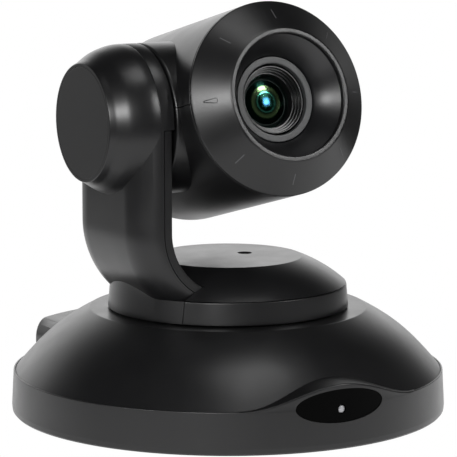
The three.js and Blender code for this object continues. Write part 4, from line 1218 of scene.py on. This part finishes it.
def glass_shell(name, radius, front, crown, thickness):
    """A thin domed glass."""
    sphere, reach = crown_of(radius, crown)
    centre = (0, front - sphere)
    outside = arc(centre, (sphere, sphere), (90 - reach, 90), 24)[:-1]
    inside = arc(centre, (sphere - thickness, sphere - thickness), (90, 90 - reach), 24)[1:]
    return lathe(name, [(0, front - thickness), *inside, *outside, (0, front)], HEAD, 128)


def inner_retainer(size, inner):
    """The sloping black ring that holds the inner glass."""
    outer = size.glass_radius - 0.3 * MM
    low = glass_front(size) - size.glass_thickness - GAP + 0.05 * MM
    ledge = 0.6 * outer + 0.4 * inner
    return lathe("retaining_ring", rounded([
        (outer, low, 0),
        (outer, low + 0.15 * MM, 0.05 * MM),
        (ledge, low + 0.45 * MM, 0.1 * MM),
        (ledge - 0.1 * MM, low + 0.7 * MM, 0.1 * MM),
        (inner + 0.3 * MM, low + 0.95 * MM, 0.1 * MM),
        (inner, low + 0.8 * MM, 0.1 * MM),
        (inner, low, 0),
    ], steps=3, support=0.05 * MM), HEAD, 128)


# ------------------------------------------------------------------ operators

class PTZ_OT_finishes(bpy.types.Operator):
    """Make the finishes and give them to the frame's own nodes"""
    bl_idname = "ptz.finishes"
    bl_label = "Finishes"
    bl_options = {"REGISTER", "UNDO"}

    def execute(self, context):
        scene = context.scene
        make_finishes(scene.ptz_finish)
        for part in frame["record"]["subparts"]:
            mesh = frame["nodes"][part["node"]].data
            mesh.materials.clear()
            mesh.materials.append(FINISHES[part["material_slot"]])
        return {"FINISHED"}


class PTZ_OT_base_shell(bpy.types.Operator):
    """Make the base housing with its brow over the window and its hood over the sockets"""
    bl_idname = "ptz.base_shell"
    bl_label = "Base shell"
    bl_options = {"REGISTER", "UNDO"}

    def execute(self, context):
        scene = context.scene
        dress(housing(scene.ptz_base), "base", "satin_plastic", ["base_housing"])
        return {"FINISHED"}


class PTZ_OT_window(bpy.types.Operator):
    """Make the oval window and the lamp in it"""
    bl_idname = "ptz.window"
    bl_label = "Window"
    bl_options = {"REGISTER", "UNDO"}

    def execute(self, context):
        scene = context.scene
        size = scene.ptz_base
        dress(window_pane(size), "base", "gloss_plastic", ["ir_window"], "window")
        dress(lamp(size), "base", "lamp_plastic", ["ir_receiver"])
        return {"FINISHED"}


class PTZ_OT_feet(bpy.types.Operator):
    """Make the four rubber feet"""
    bl_idname = "ptz.feet"
    bl_label = "Feet"
    bl_options = {"REGISTER", "UNDO"}

    def execute(self, context):
        scene = context.scene
        names = [f"foot_{end}_{side}" for end in ("front", "rear") for side in ("left", "right")]
        dress(feet(scene.ptz_base), "base", "rubber", names)
        return {"FINISHED"}


class PTZ_OT_sockets(bpy.types.Operator):
    """Make the contacts and the tongues inside the sockets"""
    bl_idname = "ptz.sockets"
    bl_label = "Socket details"
    bl_options = {"REGISTER", "UNDO"}

    def execute(self, context):
        scene = context.scene
        network = contacts("network_contacts", "network_socket", count=8, width=0.5 * MM, thickness=0.3 * MM,
                           pitch=1.02 * MM, depth=9 * MM, rise=3 * MM)
        dress(network, "base", "brass", finish="gold")
        dress(tongue("usb_tongue", "usb_socket", 7 * MM, 8.9 * MM, 1.6 * MM, 0), "base", "white_plastic")
        dress(tongue("video_tongue", "video_socket", 11 * MM, 8.9 * MM, 1.2 * MM, 0), "base", "gloss_plastic")
        return {"FINISHED"}


class PTZ_OT_turret(bpy.types.Operator):
    """Make the turret's band and its cap"""
    bl_idname = "ptz.turret"
    bl_label = "Turret"
    bl_options = {"REGISTER", "UNDO"}

    def execute(self, context):
        scene = context.scene
        arm_size = scene.ptz_arm
        band = band_wall("turret_band", scene.ptz_turret, arm_size.half_width, False)
        dress(band, "turret", "satin_plastic", ["turret_ring"])
        dress(turret_cap(scene.ptz_turret, arm_size), "turret", "satin_plastic", ["turret_cap"])
        return {"FINISHED"}


class PTZ_OT_arm(bpy.types.Operator):
    """Make the arm's shell, its inner cover and the drum's end cap"""
    bl_idname = "ptz.arm"
    bl_label = "Arm"
    bl_options = {"REGISTER", "UNDO"}

    def execute(self, context):
        scene = context.scene
        size, turret = scene.ptz_arm, scene.ptz_turret
        dress(arm_shell(size, turret), "turret", "satin_plastic", ["arm_outer_shell"])
        dress(arm_cover(size, turret), "turret", "satin_plastic", ["arm_inner_cover"])
        dress(end_cap(size), "turret", "satin_plastic", ["drum_end_cap"])
        return {"FINISHED"}


class PTZ_OT_head(bpy.types.Operator):
    """Make the upper and the lower shell of the head"""
    bl_idname = "ptz.head"
    bl_label = "Head shells"
    bl_options = {"REGISTER", "UNDO"}

    def execute(self, context):
        scene = context.scene
        size = scene.ptz_head
        dress(head_half("head_top_shell", size, 1), "head", "satin_plastic", ["head_upper_shell"])
        dress(head_half("head_bottom_shell", size, -1), "head", "satin_plastic", ["head_lower_shell"])
        return {"FINISHED"}


class PTZ_OT_bezel(bpy.types.Operator):
    """Make the front bezel and the marks round it"""
    bl_idname = "ptz.bezel"
    bl_label = "Bezel"
    bl_options = {"REGISTER", "UNDO"}

    def execute(self, context):
        scene = context.scene
        size = scene.ptz_head
        dress(bezel(size), "head", "satin_plastic", ["front_bezel"])
        dress(bezel_marks(size), "head", "ring_plastic", finish="mark")
        dress(bezel_groove(size), "head", "gloss_plastic", finish="groove")
        return {"FINISHED"}


class PTZ_OT_lens(bpy.types.Operator):
    """Make the funnel, the flat ring, the barrel and the glass"""
    bl_idname = "ptz.lens"
    bl_label = "Lens"
    bl_options = {"REGISTER", "UNDO"}

    def execute(self, context):
        scene = context.scene
        size, head = scene.ptz_lens, scene.ptz_head
        dress(shroud(size, head), "head", "gloss_plastic", ["lens_shroud"])
        dress(flat_ring(size), "head", "ring_plastic", ["lens_ring"])
        dress(lens_barrel(size), "head", "satin_plastic", ["lens_barrel"], "barrel")
        front = glass_front(size)
        pane = glass_shell("front_glass", size.glass_radius - 0.05 * MM, front, size.glass_crown, 0.6 * MM)
        dress(pane, "head", "glass", ["front_lens"], "front_glass")
        dress(inner_retainer(size, size.inner_glass), "head", "satin_plastic", finish="barrel")
        inner = glass("inner_glass", size.inner_glass - 0.05 * MM, front - 0.85 * MM, 1 * MM, 1.6 * MM)
        dress(inner, "head", "glass", finish="iridescent")
        return {"FINISHED"}


# ------------------------------------------------------------------ studio

def surroundings(scene, settings):
    """Plain surroundings that look white, and light the object mostly from behind and from low down."""
    world = bpy.data.worlds.new("studio")
    scene.world = world
    world.use_nodes = True
    nodes, link = world.node_tree.nodes, world.node_tree.links.new
    direction = nodes.new("ShaderNodeTexCoord").outputs["Generated"]

    def ramp(value, stops):
        node = nodes.new("ShaderNodeValToRGB")
        while len(node.color_ramp.elements) < len(stops):
            node.color_ramp.elements.new(0.5)
        for element, (place, shade) in zip(node.color_ramp.elements, stops):
            element.position = place
            element.color = (shade, shade, shade, 1)
        link(value, node.inputs["Fac"])
        return node.outputs["Color"]

    turn = settings.azimuth + settings.rear_turn
    behind = nodes.new("ShaderNodeVectorMath")
    behind.operation = "DOT_PRODUCT"
    behind.inputs[1].default_value = (-math.sin(turn) / 2, math.cos(turn) / 2, 0)
    link(direction, behind.inputs[0])
    shifted = nodes.new("ShaderNodeMath")
    shifted.inputs[1].default_value = 0.5
    link(behind.outputs["Value"], shifted.inputs[0])
    front = settings.front / settings.rear
    around = ramp(shifted.outputs["Value"], [(0.0, front), (0.8, front), (0.93, 1.0), (1.0, 1.0)])
    split = nodes.new("ShaderNodeSeparateXYZ")
    link(direction, split.inputs["Vector"])
    raised = nodes.new("ShaderNodeMapRange")
    raised.inputs["From Min"].default_value = -1.0
    link(split.outputs["Z"], raised.inputs["Value"])
    low, sky = settings.low, settings.sky
    bands = [(0.0, low), (0.48, low), (0.52, 1.0), (0.68, 1.0), (0.8, sky), (1.0, sky)]
    height = ramp(raised.outputs["Result"], bands)
    product = nodes.new("ShaderNodeMix")
    product.data_type = "RGBA"
    product.blend_type = "MULTIPLY"
    product.inputs["Factor"].default_value = 1.0
    link(around, product.inputs[6])
    link(height, product.inputs[7])
    lit = nodes["Background"]
    link(product.outputs[2], lit.inputs["Color"])
    lit.inputs["Strength"].default_value = settings.rear
    seen = nodes.new("ShaderNodeBackground")
    seen.inputs["Color"].default_value = (1, 1, 1, 1)
    ray = nodes.new("ShaderNodeLightPath")
    mix = nodes.new("ShaderNodeMixShader")
    link(ray.outputs["Is Camera Ray"], mix.inputs["Fac"])
    link(lit.outputs["Background"], mix.inputs[1])
    link(seen.outputs["Background"], mix.inputs[2])
    link(mix.outputs["Shader"], nodes["World Output"].inputs["Surface"])


def pale_floor(settings):
    """A pale floor that looks white and throws a soft light back."""
    made = Surface("floor")
    made.tint(made.noise(3, 2), *shades(settings.floor, 0.01))
    made.set(Roughness=0.9, Emission_Color=(1, 1, 1, 1), Emission_Strength=settings.floor_light)
    white = made.nodes.new("ShaderNodeEmission")
    ray = made.nodes.new("ShaderNodeLightPath")
    mix = made.nodes.new("ShaderNodeMixShader")
    made.link(ray.outputs["Is Camera Ray"], mix.inputs["Fac"])
    made.link(made.shader.outputs["BSDF"], mix.inputs[1])
    made.link(white.outputs["Emission"], mix.inputs[2])
    made.link(mix.outputs["Shader"], made.nodes["Material Output"].inputs["Surface"])
    floor = solid_rod("floor", settings.floor_radius, -0.01, 0)
    floor.data.materials.append(made.material)


def area_light(name, towards, size, power):
    """A soft light at an azimuth and an elevation from the lens, 1.3 m away."""
    turn, rise = (math.radians(d) for d in towards)
    out = Vector((math.sin(turn) * math.cos(rise), -math.cos(turn) * math.cos(rise), math.sin(rise)))
    light = bpy.data.lights.new(name, "AREA")
    light.shape = "RECTANGLE"
    light.size, light.size_y = size
    light.energy = power
    source = bpy.data.objects.new(name, light)
    source.location = PIVOT + out * 1.3
    source.rotation_euler = (-out).to_track_quat("-Z", "Y").to_euler()
    bpy.context.scene.collection.objects.link(source)


class PTZ_OT_stage(bpy.types.Operator):
    """Make the floor, the lights and the camera"""
    bl_idname = "ptz.stage"
    bl_label = "Studio"
    bl_options = {"REGISTER", "UNDO"}

    def execute(self, context):
        scene = context.scene
        settings = scene.ptz_stage
        surroundings(scene, settings)
        pale_floor(settings)
        area_light("left_softbox", (-42, 18), (0.28, 0.28), 12)
        area_light("right_softbox", (32, 26), (0.2, 0.52), 7)
        area_light("far_left_softbox", (-76, 16), (0.26, 0.3), 6)
        area_light("overhead_softbox", (10, 74), (0.6, 0.5), 4)
        camera = bpy.data.cameras.new("camera")
        camera.sensor_width = 36
        camera.lens = settings.focal
        camera.clip_start, camera.clip_end = 0.01, 20
        eye = bpy.data.objects.new("camera", camera)
        turn = settings.azimuth
        right = Vector((math.cos(turn), math.sin(turn), 0))
        back = Vector((math.sin(turn), -math.cos(turn), 0))
        eye.location = back * settings.distance + right * settings.side + Vector((0, 0, settings.height))
        look = -back * math.cos(settings.pitch) - Vector((0, 0, math.sin(settings.pitch)))
        eye.rotation_euler = look.to_track_quat("-Z", "Y").to_euler()
        scene.collection.objects.link(eye)
        scene.camera = eye
        scene.view_settings.view_transform = "Standard"
        return {"FINISHED"}


OPERATORS = [
    PTZ_OT_finishes,
    PTZ_OT_base_shell,
    PTZ_OT_window,
    PTZ_OT_feet,
    PTZ_OT_sockets,
    PTZ_OT_turret,
    PTZ_OT_arm,
    PTZ_OT_head,
    PTZ_OT_bezel,
    PTZ_OT_lens,
    PTZ_OT_stage,
]


class PTZ_PT_panel(bpy.types.Panel):
    """Lists the pieces, and the sizes that they are made with"""
    bl_idname = "PTZ_PT_panel"
    bl_label = "PTZ Camera"
    bl_space_type = "VIEW_3D"
    bl_region_type = "UI"
    bl_category = "PTZ Camera"

    def draw(self, context):
        for operator in OPERATORS:
            self.layout.operator(operator.bl_idname)
        for group, kind in GROUPS.items():
            box = self.layout.box()
            box.label(text=group.removeprefix("ptz_").capitalize())
            for prop in kind.bl_rna.properties:
                if prop.identifier not in ("name", "rna_type"):
                    box.prop(getattr(context.scene, group), prop.identifier)


CLASSES = [*GROUPS.values(), *OPERATORS, PTZ_PT_panel]


def register():
    for kind in CLASSES:
        bpy.utils.register_class(kind)
    for name, kind in GROUPS.items():
        setattr(bpy.types.Scene, name, bpy.props.PointerProperty(type=kind))


def unregister():
    for name in GROUPS:
        delattr(bpy.types.Scene, name)
    for kind in reversed(CLASSES):
        bpy.utils.unregister_class(kind)


def main():
    register()
    for operator in OPERATORS:
        name = operator.bl_idname.removeprefix("ptz.")
        if getattr(bpy.ops.ptz, name)() != {"FINISHED"}:
            raise RuntimeError(f"{operator.bl_label} did not finish")


if __name__ == "__main__":
    main()
